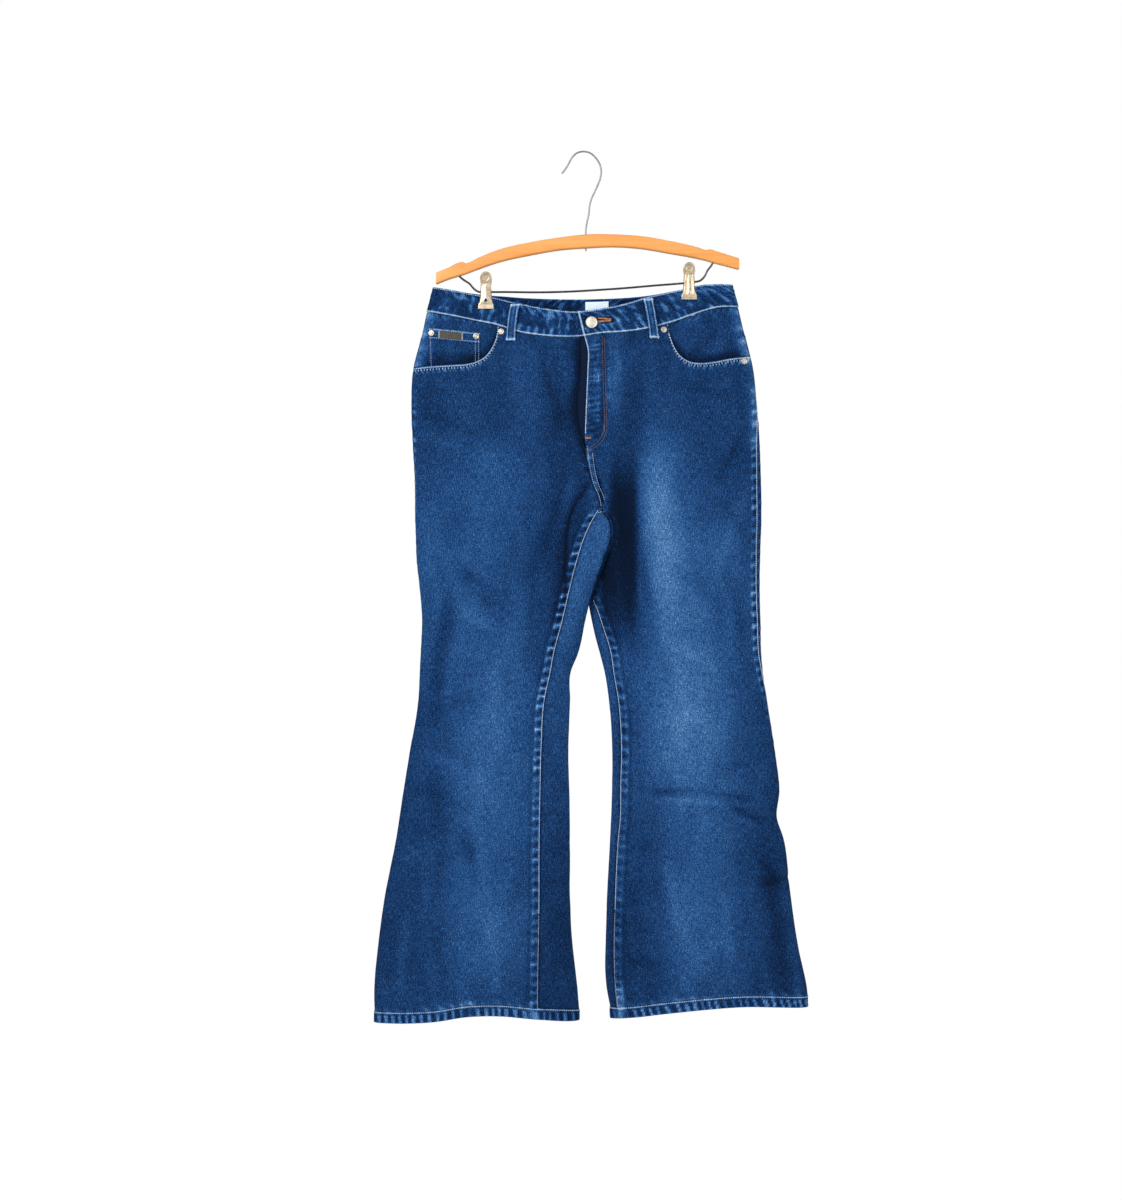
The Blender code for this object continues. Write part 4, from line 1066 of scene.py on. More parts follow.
def quads(present: Array) -> Array:
    """The quads between the points of a grid that are there.

    Args:
        present: Which points are there.

    Returns:
        Four corner numbers a row.
    """
    number = np.full(present.shape, -1)
    number[present] = np.arange(present.sum())
    corners = np.stack(
        [number[:-1, :-1], number[:-1, 1:], number[1:, 1:], number[1:, :-1]], axis=-1
    ).reshape(-1, 4)
    return corners[corners.min(axis=1) >= 0]


@dataclass
class Line:
    """A line on a piece of cloth: its points, and the way out of the cloth at each."""

    points: Array
    ups: Array

    def spaced(self, pitch: float) -> tuple[Array, Array, Array]:
        """Even steps along the line.

        Args:
            pitch: The length of a step.

        Returns:
            The middle, the direction and the way out of the cloth at each.
        """
        run = run_along(self.points)
        even = np.arange(pitch / 2, run[-1], pitch)
        centres, ahead, behind = (
            read_at(even + away, run, self.points) for away in (0, pitch / 3, -pitch / 3)
        )
        return centres, unit(ahead - behind), unit(read_at(even, run, self.ups))

    def beyond(self, reach: float) -> "Line":
        """The part of the line that lies further than a reach from the body's middle."""
        kept = np.abs(self.points[:, 0]) > reach
        return Line(self.points[kept], self.ups[kept])


# A stitch's rings: where each lies along it, its share of the radius, and how high it stands.
STITCH_RINGS = np.array([
    (-0.5, 0.3, -0.35), (-0.36, 0.9, 0.0), (0.0, 1.0, 0.25), (0.36, 0.9, 0.0), (0.5, 0.3, -0.35),
])
STITCH_SIDES = 5


@dataclass
class Stitching:
    """Rows of stitches of one thread, joined in one mesh: each is a small rounded bar."""

    name: str
    finish: Grained
    pitch: float = 3.2
    length: float = 2.5
    radius: float = 0.42
    rows: list[tuple[Array, Array, Array, float, float]] = field(default_factory=list)

    def sew(self, line: Line, lengthen: float = 1.0, thicken: float = 1.0) -> None:
        """Add a row along a line."""
        placed = line.spaced(self.pitch)
        self.rows.append((*placed, self.length * lengthen, self.radius * thicken))

    def tack(self, line: Line, width: float, pitch: float = 0.75) -> None:
        """Add a bar tack: stitches of a width, side by side across a line at a pitch."""
        centres, ahead, ups = line.spaced(pitch)
        self.rows.append((centres, unit(np.cross(ups, ahead)), ups, width, self.radius))

    def build(self) -> None:
        """Join the rows in one mesh."""
        angles = np.linspace(0, 2 * np.pi, STITCH_SIDES, endpoint=False)[:, None]
        share, girth, height = STITCH_RINGS.T[..., None]
        bars = []
        for centres, ahead, ups, length, radius in self.rows:
            ahead, ups, side = ahead[:, None], ups[:, None], np.cross(ahead, ups)[:, None]
            ring = centres[:, None] + ahead * (share * length) + ups * (height * radius)
            spoke = (side * np.cos(angles) + ups * np.sin(angles))[:, None]
            bars.append((ring[:, :, None] + girth[..., None] * radius * spoke).reshape(-1, 3))
        points = np.concatenate(bars)
        count = len(STITCH_RINGS) * STITCH_SIDES
        first = np.arange(STITCH_SIDES)
        after = np.roll(first, -1)
        quad = np.stack([first, after, after + STITCH_SIDES, first + STITCH_SIDES], axis=1)
        quad = np.concatenate([quad + k for k in range(0, count - STITCH_SIDES, STITCH_SIDES)])
        cap = np.stack([first[::-1], first + count - STITCH_SIDES])
        starts = np.arange(0, len(points), count)[:, None, None]
        faces = [(part[None] + starts).reshape(-1, part.shape[1]).tolist() for part in (quad, cap)]
        obj = smooth_mesh(self.name, points, faces[0] + faces[1])
        settle(obj, self.finish, "denim")


# ---------------------------------------------------------------- the panels of each side


FRONT_COLUMNS = 120
MOUTH_COLUMNS = 68
BACK_COLUMNS = 88
WRAP_COLUMNS = 24
ZONE_ROWS = 32
BODY_ROWS = 42
LEG_ROWS = 196
COLUMN_SPREAD = 1.6
STEEP_SHARE = 0.3
HEM_LEVEL = 1225.0
LEG_MARKS_FROM = {"right": 512, "left": 628}
FELLED_HEM = {"right": -71, "left": 52}

# Small creases of the fronts and backs: the line, half its width and how far it stands out.
CREASES = {
    Wall.FRONT: Table(
        "x1 drop1 x2 drop2 width rise",
        (-232, 372, -150, 404, 7, -0.8), (-238, 402, -168, 428, 6, 0.7),
        (-60, 300, -28, 392, 9, -1.0), (-40, 262, -18, 330, 7, 0.8), (-14, 470, -46, 566, 7, 1.3),
        (-22, 590, -40, 680, 8, -1.6), (-30, 505, -70, 600, 10, -0.9),
        (-177, 598, -116, 632, 4, -0.9), (-186, 574, -150, 586, 6, 0.6),
        (-178, 648, -120, 690, 8, 0.8), (-196, 640, -212, 760, 7, -1.2),
        (-180, 690, -200, 800, 9, 1.1), (-215, 800, -150, 775, 8, -0.8),
        (-232, 850, -176, 880, 9, 0.8), (-240, 905, -172, 930, 8, -0.7),
        (-165, 985, -150, 1045, 8, -1.1), (-262, 1010, -206, 985, 9, 0.8),
        (-130, 1080, -120, 1200, 10, 1.0), (-250, 1100, -262, 1215, 11, 1.1),
        (-206, 1120, -200, 1210, 10, -0.9), (52, 300, 40, 400, 8, 0.9),
        (140, 330, 210, 356, 9, -0.8), (228, 400, 196, 470, 8, -1.0), (240, 470, 206, 560, 8, 1.0),
        (44, 500, 52, 640, 6, 1.5), (74, 520, 92, 640, 7, -1.1), (132, 600, 190, 640, 9, -0.8),
        (206, 600, 226, 690, 8, -0.9), (120, 700, 190, 740, 9, 0.7),
        (100, 914, 168, 910, 3.5, -1.2), (168, 911, 236, 924, 3.5, -1.3),
        (100, 922, 232, 932, 4.5, 1.0), (208, 932, 250, 953, 4, -1.3),
        (216, 946, 256, 968, 5, 0.9), (240, 1000, 284, 1040, 7, -0.9),
        (256, 1046, 300, 1034, 4, -1.0), (190, 880, 262, 862, 8, -0.8),
        (120, 1010, 140, 1120, 10, 0.9), (200, 1060, 214, 1190, 11, 1.1),
        (262, 1000, 284, 1200, 12, -1.6), (66, 1060, 62, 1200, 9, -0.9),
        (-90, 620, -100, 720, 14, 1.0), (292, 1060, 308, 1200, 7, 1.0),
        (64, 1152, 112, 1158, 5, -1.0), (100, 820, 180, 800, 12, 0.7),
        (-140, 900, -200, 880, 12, 0.8),
    ),
    Wall.BACK: Table(
        "x1 drop1 x2 drop2 width rise",
        (-180, 520, -120, 580, 8, -1.4), (-190, 560, -110, 640, 9, 1.1),
        (190, 530, 130, 590, 8, -1.4), (210, 580, 120, 660, 9, 1.0), (-60, 560, -90, 640, 8, 1.2),
        (80, 570, 104, 640, 8, 1.2), (-150, 850, -100, 866, 7, -1.2),
        (-170, 880, -120, 905, 7, -1.1), (120, 850, 190, 872, 7, -1.2),
        (130, 890, 210, 910, 7, -1.0), (-200, 1010, -210, 1180, 12, 1.2),
        (-100, 1020, -96, 1180, 12, -1.2), (110, 1020, 104, 1180, 12, -1.2),
        (230, 1020, 250, 1180, 12, 1.2), (20, 520, 60, 500, 7, -1.2), (20, 520, -24, 500, 7, -1.2),
    ),
}

# Where the cloth is washed out, or dark if below 0: the patch's middle, half sizes and strength. The
# dark patch beside the fly, at x -30 and drop 400, is painted shade.
FADES_AND_SHADE = {
    Wall.FRONT: Table(
        "x drop width length strength",
        (-140, 470, 62, 70, 0.13), (-170, 610, 70, 110, 0.14), (-226, 610, 22, 110, 0.08),
        (-130, 760, 70, 110, 0.14), (-150, 925, 75, 120, 0.155), (-150, 1120, 62, 110, 0.13),
        (-32, 600, 24, 130, -0.1), (-30, 400, 22, 80, -0.05), (104, 520, 40, 110, 0.3),
        (140, 660, 62, 120, 0.2), (142, 840, 68, 125, 0.24), (142, 1110, 80, 130, 0.19),
        (210, 575, 46, 120, 0.15), (46, 296, 9, 42, 0.1), (70, 1190, 22, 90, -0.06),
        (-224, 1080, 24, 110, 0.09), (71, 352, 15, 76, -0.12), (118, 372, 30, 60, 0.04),
    ),
    Wall.BACK: Table(
        "x drop width length strength",
        (-118, 420, 90, 90, 0.09), (158, 420, 90, 90, 0.09), (-130, 640, 76, 130, 0.12),
        (160, 640, 76, 130, 0.12), (-140, 940, 80, 190, 0.1), (165, 940, 80, 190, 0.1),
        (20, 500, 40, 60, -0.1),
    ),
}
BASE_WASH = 0.26

# The crisp crease that hangs from the crotch down the right thigh, cut in and darkened with painted
# shade: (x, drop).
DRAG_LINE = ((9, 475), (-11, 503), (-19, 522), (-23.5, 543), (-24.6, 573), (-25.6, 604), (-25, 640))


def even_places(
    half: Half, wall: Wall, drop: Array, start: Array, end: Array, shares: Array
) -> Array:
    """Places that share out the length of each row.

    Args:
        half: The side of the jeans.
        wall: The wall that places are counted on.
        drop: The rows' drops.
        start: Each row's first place.
        end: Its last place.
        shares: Shares of the row's length, 0 to 1.

    Returns:
        One row of places for each drop.
    """
    place = start[:, None] + (end - start)[:, None] * np.linspace(0, 1, 241)
    run = run_along(half.point(wall, place, drop[:, None]), 1)
    return np.array([np.interp(shares * r[-1], r, p) for r, p in zip(run, place)])


def rimmed(length: float, count: int) -> Array:
    """Shares, 0 to 1, in even steps, with closer ones by both ends to round the rims.

    Args:
        length: The length that they share, in millimetres.
        count: How many steps.

    Returns:
        The shares.
    """
    near = np.array([0.0, 0.45, 1.2])
    middle = np.linspace(near[-1], length - near[-1], count - 3)
    return np.concatenate([near[:-1], middle, length - near[-2::-1]]) / length


def upright_normals(grid: Array, sign: int, closed: bool = False) -> Array:
    """Level outward normals of a grid whose rows run down and columns round the side.

    Args:
        grid: The points.
        sign: Which side of the jeans.
        closed: Whether the last column joins the first.

    Returns:
        The normals.
    """
    if closed:
        ahead = np.roll(grid, -1, axis=1) - grid
        behind = grid - np.roll(grid, 1, axis=1)
    else:
        step = np.diff(grid, axis=1)
        ahead = np.concatenate([step, step[:, -1:]], axis=1)
        behind = np.concatenate([step[:, :1], step], axis=1)
    along = unit(ahead) + unit(behind)
    down = np.gradient(grid, axis=0)
    normal = sign * np.cross(along, down)
    normal[..., 2] = 0
    return unit(normal)


def fades_and_shade_at(wall: Wall, x: Array, drop: Array) -> Array:
    """How much lighter the washed-out patches make the cloth, and how much darker the dark ones, one
    of which is painted shade beside the fly.

    Args:
        wall: The wall.
        x: x of the points.
        drop: Their drops.

    Returns:
        How much each point is lighter; below 0, how much darker.
    """
    total = np.zeros(np.broadcast(x, drop).shape)
    for mid_x, mid_drop, width, length, strength in FADES_AND_SHADE[wall].rows:
        total += strength * bell((x - mid_x) / width) * bell((drop - mid_drop) / length)
    return total


@dataclass
class SidePanels:
    """The front panel, back panel, hem, yoke and pocket facing of one side."""

    half: Half
    seed: int
    front: Cloth = field(init=False)
    back: Cloth = field(init=False)
    hem: Cloth = field(init=False)
    yoke: Cloth = field(init=False)
    facing: Cloth = field(init=False)

    def top_line(self) -> Array:
        """(x, drop) along the front panel's top: the pocket's mouth, then the seam.

        Returns:
            One row for each column of the panel, from the side in.
        """
        half = self.half
        order = np.linspace(half.mouth.rows[-1, 0], 0, 901)
        mouth = np.stack([half.mouth.at("x", order), half.mouth.at("drop", order)], axis=1)
        steps = np.abs(np.diff(mouth, axis=0)) * (1, STEEP_SHARE)
        run = np.concatenate([[0], np.cumsum(steps.sum(axis=1))])
        even = np.linspace(0, run[-1], MOUTH_COLUMNS + 1)
        mouth = read_at(even, run, mouth)
        count = FRONT_COLUMNS - MOUTH_COLUMNS + 1
        x = np.linspace(mouth[-1, 0], half.rise.at("x", 266.0), count)[1:]
        seam = np.stack([x, WAIST_SEAMS[Wall.FRONT].at("drop", x) + SEAM_GAP / 2], axis=1)
        return np.concatenate([mouth, seam])

    def leg_drops(self, hem_x: Array) -> Array:
        """Drops of the rows from the pocket zone down to the hem.

        Args:
            hem_x: Each column's x at the hem.

        Returns:
            The drops, the last row along the hem.
        """
        level = np.linspace(POCKET_ZONE, CROTCH, BODY_ROWS + 1)[1:, None] * np.ones(len(hem_x))
        hem = HEM_EDGE.at("drop", hem_x) - HEM_HEIGHT
        share = np.linspace(0, 1, LEG_ROWS + 1)[1:, None]
        return np.concatenate([level, CROTCH + (hem - CROTCH) * share])

    def front_grid(self) -> Array:
        """The front panel's middle, from the outseam in to the rise and the inseam.

        Returns:
            Its points.
        """
        half = self.half
        shares = np.linspace(0, 1, FRONT_COLUMNS + 1)

        def places(drop: Array) -> Array:
            """Even places along each row."""
            return even_places(
                half, Wall.FRONT, drop, half.outseam(Wall.FRONT, drop), half.inseam(drop), shares
            )

        top_x, top_drop = self.top_line().T
        top_place = half.place_at(Wall.FRONT, top_x, top_drop)
        zone_place = places(np.array([POCKET_ZONE]))[0]
        ease = np.concatenate([[0, 0.45, 1.2], np.linspace(3.2, 60, ZONE_ROWS - 2)])[:, None] / 60
        upper_drop = top_drop + (POCKET_ZONE - top_drop) * ease
        upper_place = top_place + (zone_place - top_place) * ease**COLUMN_SPREAD
        hem_drop = np.array([HEM_LEVEL])
        hem_x = half.point(Wall.FRONT, places(hem_drop), hem_drop[:, None])[0, :, 0]
        lower_drop = self.leg_drops(hem_x)
        drop = np.concatenate([upper_drop, lower_drop])
        place = np.concatenate([upper_place, places(lower_drop[:, 0])])
        place[:, 0] = half.outseam(Wall.FRONT, drop[:, 0])
        place[:, -1] = half.inseam(drop[:, -1])
        return half.point(Wall.FRONT, place, drop)

    def inner_wrap(self, share: Array, drop: Array) -> tuple[Array, Array]:
        """Points from the inseam, 0, round the leg's inner fold to the back wall's corner, 1.

        Args:
            share: Shares of the way.
            drop: Drops of the points.

        Returns:
            The points, and how near to the inseam each is.
        """
        half = self.half
        seam = half.inseam(drop)
        front = half.point(Wall.FRONT, np.ones_like(drop), drop)
        back = half.point(Wall.BACK, np.ones_like(drop), drop)
        start = half.point(Wall.FRONT, seam, drop)
        on_front = np.linalg.norm(front - start, axis=-1)
        turn = on_front / (on_front + np.linalg.norm(back - front, axis=-1) + 1e-6)
        near = np.clip(share / np.maximum(turn, 1e-6), 0, 1)
        across = np.clip((share - turn) / np.maximum(1 - turn, 1e-6), 0, 1)[..., None]
        on_fold = half.point(Wall.FRONT, seam + (1 - seam) * near, drop)
        path = np.where((share <= turn)[..., None], on_fold, front + (back - front) * across)
        return path, 1 - near

    def back_grid(self) -> tuple[Array, Array, Array]:
        """The back panel: the inner wrap's columns, then the back wall's, out to the outseam.

        Returns:
            Its points, which of them there are, and how near each wrap point is to the inseam.
        """
        half = self.half
        shares = np.linspace(0, 1, BACK_COLUMNS + 1)

        def places(drop: Array) -> Array:
            """Even places along each row."""
            return even_places(
                half, Wall.BACK, drop, np.ones_like(drop), half.outseam(Wall.BACK, drop), shares
            )

        zone_place = places(np.array([POCKET_ZONE]))[0]
        seam = half.drops_on(YOKE_SEAM, Wall.BACK, zone_place)
        ease = np.linspace(0, 1, ZONE_ROWS + 1)[:, None]
        upper_drop = seam + (POCKET_ZONE - seam) * ease
        hem_drop = np.array([HEM_LEVEL])
        hem_x = half.point(Wall.BACK, places(hem_drop), hem_drop[:, None])[0, :, 0]
        lower_drop = self.leg_drops(hem_x)
        drop = np.concatenate([upper_drop, lower_drop])
        place = np.concatenate([zone_place + 0 * upper_drop, places(lower_drop[:, -1])])
        place[:, -1] = half.outseam(Wall.BACK, drop[:, -1])
        wall = half.point(Wall.BACK, place, drop)
        share = np.linspace(0, 1, WRAP_COLUMNS + 1)[:-1] * np.ones((len(drop), 1))
        seam_x = half.point(Wall.FRONT, half.inseam(hem_drop), hem_drop)[0, 0]
        hem_x = seam_x + (half.sizes.at("fold", HEM_LEVEL) - seam_x) * share[0]
        wrap_drop = np.concatenate([np.full((ZONE_ROWS + 1, WRAP_COLUMNS), CROTCH),
                                    np.maximum(self.leg_drops(hem_x), CROTCH)])
        wrap, on_front = self.inner_wrap(share, wrap_drop)
        present = np.ones((len(drop), BACK_COLUMNS + 1 + WRAP_COLUMNS), bool)
        present[:, :WRAP_COLUMNS] = drop[:, :1] > CROTCH - 0.5
        return np.concatenate([wrap, wall], axis=1), present, on_front

    def shape_panels(self) -> None:
        """Work out both panels on shared rows, with their folds, puckers and wash."""
        half = self.half
        front = self.front_grid()
        back, present, on_front = self.back_grid()
        below = -front[:, -1, 2] > CROTCH - 0.5
        ring = np.concatenate([front[below][:, :-1], back[present[:, 0]][:, :-1]], axis=1)
        ring_normal = upright_normals(ring, half.sign, closed=True)
        front_normal = upright_normals(front, half.sign)
        back_normal = upright_normals(back, half.sign)
        split = front.shape[1] - 1
        front_normal[below, :-1] = ring_normal[:, :split]
        front_normal[below, -1] = ring_normal[:, split]
        back_normal[present[:, 0], :-1] = ring_normal[:, split:]
        back_normal[present[:, 0], -1] = ring_normal[:, 0]
        back_normal[~present] = 0
        for grid, normal, column in ((front, front_normal, 0), (back, back_normal, -1)):
            normal[:, column] = self.outseam_normal(-grid[:, column, 2])
        self.front = Cloth(
            f"front_panel_{half.name}", front, front_normal, DENIM_CLOTH,
            rounded=(Edge.TOP, Edge.START, Edge.END),
        )
        self.back = Cloth(
            f"back_panel_{half.name}", back, back_normal, DENIM_CLOTH, present=present,
        )
        self.relieve_front()
        self.relieve_back(on_front)

    def outseam_normal(self, drop: Array) -> Array:
        """The level direction out of the cloth at the outseam, shared by its panels.

        Args:
            drop: Drops along the seam.

        Returns:
            The direction at each.
        """
        place = self.half.outseam(Wall.FRONT, drop)
        ahead = self.half.point(Wall.FRONT, place + 0.05, drop)
        behind = self.half.point(Wall.FRONT, place - 0.05, drop)
        along = ahead - behind
        return unit(-self.half.sign * np.stack([along[:, 1], -along[:, 0], 0 * drop], axis=-1))

    def common_noise(self, x: Array, y: Array, drop: Array) -> Array:
        """Low, uneven waves of hanging cloth, drawn out down the leg.

        Args:
            x: x of the points.
            y: Their y.
            drop: Their drops.

        Returns:
            Heights out of the cloth.
        """
        wide = cloud(x + NOISE_START, drop, 46, 92, self.seed) * 0.9
        middle = cloud(x + NOISE_START + 0.2 * drop, drop, 21, 34, self.seed + 1) * 0.34
        fine = cloud(x + NOISE_START + y, drop, 9, 13, self.seed + 2) * 0.14
        return wide * smooth((drop - 300) / 80) + middle + fine

    def relieve_front(self) -> None:
        """Lift and wash of the front panel, with painted light and shade on its folds, and painted
        shade in its creases and beside the fly.
        """
        half, cloth = self.half, self.front
        x, drop = cloth.x, cloth.drop
        end, start, top = map(cloth.from_edge, (Edge.END, Edge.START, Edge.TOP))
        legs = smooth((drop - LEG_MARKS_FROM[half.name]) / 12)
        folds = folds_at(half, Wall.FRONT, x, drop)
        small = creases_at(CREASES[Wall.FRONT], x, drop) * smooth(end / 8) * smooth(start / 10)
        waves = self.common_noise(x, cloth.grid[..., 1], drop) * smooth(top / 40)
        inseam = ladder(drop, end, 14.4, 11.0, self.seed + 5) * legs
        outseam = ladder(drop, start, 15.0, 9.5, self.seed + 6) * smooth((drop - 340) / 25)
        rise = ladder(drop * 1.1, end, 12.0, 8.0, self.seed + 7) * (1 - legs)
        rise = rise * smooth((drop - 418) / 12)
        round_mouth = smooth((np.abs(x) - 118) / 3) * (drop < 345)
        mouth = round_mouth * ladder(np.abs(x) + 0.8 * drop, top, 8.6, 9.0, self.seed + 8)
        raised = 0.55 * smooth((12.5 - end) / 1.6) * legs
        cloth.lift += folds + small + waves + raised
        cloth.lift += 0.9 * inseam + 0.6 * outseam + 0.5 * rise + 0.3 * mouth
        if half.sign > 0:
            cloth.lift += (1 - smooth((x - 30) / 14)) * (1 - smooth((drop - 405) / 30))
        # Washed-out patches, and dark ones, one of them painted shade beside the fly.
        fade = fades_and_shade_at(Wall.FRONT, x, drop)
        # Fold and wave heights tint the cloth: partly real wear on the ridges, partly painted light
        # on ridges and painted shade in valleys.
        cloth.wash[:] = BASE_WASH + fade + 0.03 * folds.clip(-3, 2) + 0.07 * small
        cloth.wash += 0.04 * waves
        strong, worn = (0.9, 0.55) if half.sign < 0 else (0.6, 0.72)
        cloth.wash += strong * inseam * (1 - 0.35 * smooth((drop - 760) / 200))
        cloth.wash += worn * outseam + 0.3 * rise + 0.65 * mouth
        cloth.wash += 0.22 * bell((end - 0.8) / 1.4) * legs
        cloth.wash -= 0.08 * bell((end - 14.5) / 2.4) * legs
        cloth.wash += 0.52 * bell(top / 1.7) * round_mouth
        cloth.wash += 0.34 * bell(start / 1.9) * smooth((drop - 345) / 20)
        low = cloth.from_edge(Edge.FOOT)
        marks = rope(x, low, 17.0, 0.9, self.seed + 12) ** 2
        cloth.wash += 0.2 * bell(low / 1.6) + 0.26 * marks * smooth((9 - low) / 6)
        if half.sign > 0:
            self.wear_and_shade_fly(x, drop, end)
            # Painted shade in the deep valley that runs from the rise down the left thigh.
            valley_shade = smooth((x - 32 + 12 * smooth((drop - 500) / 60)) / 14) * smooth((82 - x) / 14)
            cloth.wash -= 0.42 * valley_shade * smooth((drop - 425) / 85) * smooth((735 - drop) / 150)
            worn_side = bell(start / 12.0) * smooth((drop - 262) / 12)
            worn_side = worn_side * (0.60 + 0.5 * wander(drop, 11, self.seed + 13))
            cloth.wash += 0.45 * worn_side * smooth((460 - drop) / 60)
            felled = (x - FELLED_HEM["left"]) / 8.5
            cloth.wash += 0.26 * bell(felled**2) * smooth((drop - 1182) / 14)
        else:
            shade = bell(end / 9.0) * smooth((drop - 262) / 12)
            cloth.wash -= 0.36 * shade * (1 - smooth((drop - 425) / 40))
            # The crease is cut into the cloth and darkened with painted shade.
            shaded_drag = trail(x, drop, DRAG_LINE, 2.0)
            cloth.wash -= 0.26 * shaded_drag
            cloth.lift -= 1.3 * shaded_drag
            cloth.wash += 0.07 * trail(x, drop, [(a + 5.5, b) for a, b in DRAG_LINE], 2.4)
            cloth.wash += 0.3 * trail(x, drop, ((-168, 1211), (-149, 1208)), 0.9)

    def wear_and_shade_fly(self, x: Array, drop: Array, end: Array) -> None:
        """Worn edge, rungs and columns of the lapped fly, and the dark of the rise below it, which
        is painted shade beside its seam ridge and where the seam gapes.

        Args:
            x: x of the points.
            drop: Their drops.
            end: How far they are from the lapped edge.
        """
        cloth = self.front
        above = 1 - smooth((drop - 404) / 14)
        cloth.wash += 0.55 * bell((end - 0.6) / 1.5) * above
        rungs = 0.30 * rope(drop, end, 9.0, 0.15, self.seed + 9) - 0.06
        rungs = rungs + 0.14 * cloud(x + NOISE_START, drop, 4.5, 8.0, self.seed + 11)
        cloth.wash += (rungs + 0.05) * smooth((24 - end) / 6) * smooth((end - 2) / 2) * above
        cloth.wash -= 0.14 * bell((x - 28) / 4.2) * smooth((400 - drop) / 30)
        broken = 0.6 + 0.5 * wander(drop, 9.0, self.seed + 10)
        cloth.wash += 0.22 * broken * bell((x - 37) / 3.2) * smooth((392 - drop) / 40)
        cloth.wash += 0.34 * broken * bell((x - 22) / 1.8) * smooth((370 - drop) / 60)
        cloth.wash -= 0.10 * smooth((30 - x) / 8) * smooth((drop - 372) / 20) * above
        cloth.wash += 0.5 * bell((x - 4) / 5) * bell((drop - 437) / 6)
        # A light scuffed line, then a painted shadow line beside the rise seam's ridge.
        beside = trail(x, drop, ((13, 440), (19, 462), (25, 482), (28, 503)), 2.2)
        cloth.wash += 0.16 * trail(x, drop, ((9, 440), (15, 462), (21, 482)), 2.4) - 0.20 * beside
        # Painted shade in the gap where the rise seam opens, which is also cut in.
        shaded_slit = trail(x, drop, ((22, 470), (25, 486), (27, 500)), 2.2)
        cloth.wash -= 0.3 * shaded_slit
        cloth.lift -= 0.8 * shaded_slit

    def relieve_back(self, on_front: Array) -> None:
        """Lift and wash of the back panel, whose wrap shows beside the inseam from the front, with
        painted light and shade on its folds and painted shade along the inseam.

        Args:
            on_front: How near to the inseam each point of the wrap is.
        """
        half, cloth = self.half, self.back
        x, drop = cloth.x, cloth.drop
        wrap = np.zeros(x.shape)
        wrap[:, :WRAP_COLUMNS] = on_front
        is_wrap = np.arange(x.shape[1]) < WRAP_COLUMNS
        start = cloth.from_edge(Edge.START)
        end = cloth.from_edge(Edge.END)
        front_lift = folds_at(half, Wall.FRONT, x, drop) + creases_at(CREASES[Wall.FRONT], x, drop)
        back_folds = folds_at(half, Wall.BACK, x, drop)
        back_small = creases_at(CREASES[Wall.BACK], x, drop)
        waves = self.common_noise(x, cloth.grid[..., 1], drop)
        away = np.where(is_wrap, 1, smooth((start - start[:, WRAP_COLUMNS:WRAP_COLUMNS + 1]) / 20))
        cloth.lift += np.where(is_wrap, wrap * front_lift, away * (back_folds + back_small))
        top = cloth.from_edge(Edge.TOP)
        outseam = ladder(drop, end, 15.0, 9.0, self.seed + 16)
        cloth.lift += waves * smooth(end / 10) * smooth(top / 20) * 0.9 + 0.5 * outseam
        middle = ladder(drop, np.where(is_wrap, 99, start), 12.5, 8.0, self.seed + 17)
        above = drop < CROTCH
        cloth.lift += 0.5 * middle * above
        wrap_wash = 0.42 - 0.12 * smooth((drop - 600) / 260) - 0.08 * smooth((drop - 900) / 240)
        wall_wash = BASE_WASH + 0.05 + fades_and_shade_at(Wall.BACK, x, drop)
        cloth.wash[:] = np.where(is_wrap, wrap_wash, wall_wash)
        # Fold and wave heights tint the cloth: partly real wear on the ridges, partly painted light
        # on ridges and painted shade in valleys.
        cloth.wash += 0.03 * back_folds * ~is_wrap + 0.06 * back_small * ~is_wrap + 0.05 * waves
        cloth.wash += 0.5 * outseam + 0.4 * middle * above
        below = drop > CROTCH + 5
        # Painted shadow along the inseam, under the front panel's lapped edge.
        cloth.wash -= 0.20 * bell(start / 1.8) * below
        inside = bell((x - half.sizes.at("fold", drop)) / 5.0) * below
        cloth.wash -= 0.06 * inside * smooth((760 - drop) / 60)
        cloth.wash += 0.05 * inside * smooth((drop - 700) / 60)

    def shape_hem(self) -> None:
        """The turned-up hem, roped diagonally by its shrunken stitching."""
        front, back = self.front, self.back
        ring = np.concatenate([front.grid[-1, :-1], back.grid[-1]], axis=0)
        normal = np.concatenate([front.normal[-1, :-1], back.normal[-1]], axis=0)
        lift = np.concatenate([front.lift[-1, :-1], back.lift[-1]])
        wash = np.concatenate([front.wash[-1, :-1], back.wash[-1]])
        top = SEAM_GAP - ring[:, 2]
        rows = rimmed(HEM_HEIGHT, 14)[:, None]
        grid = np.repeat(ring[None], len(rows), axis=0)
        grid[..., 2] = -(top + (HEM_EDGE.at("drop", ring[:, 0]) - top) * rows)
        self.hem = hem = Cloth(
            f"hem_{self.half.name}", grid, np.repeat(normal[None], len(rows), axis=0), HEM_CLOTH,
            rounded=(Edge.TOP, Edge.FOOT), round_radius=1.3,
        )
        run = run_along(hem.grid, 1)
        off = hem.from_edge(Edge.TOP)
        lean = 0.35 if self.half.sign > 0 else 0.1
        bars = rope(run, off, 11.3, lean * self.half.sign, self.seed + 20)
        bars = smooth((bars - 0.16) / 0.36)
        hem.lift += 0.72 * lift + 0.8 * (bars - 0.35) * smooth(off / 3.5)
        hem.wash[:] = 0.09 + 0.30 * (wash - 0.30) + 0.50 * bars * smooth((off - 3.0) / 2.5)
        hem.wash += 0.22 * bell((HEM_HEIGHT - off) / 1.3)
        broken = 0.75 + 0.4 * wander(run, 5.0, self.seed + 22)
        hem.wash += 0.58 * broken * bell((off - 1.4) / 1.7)
        felled = (hem.x - FELLED_HEM[self.half.name]) / 8.5
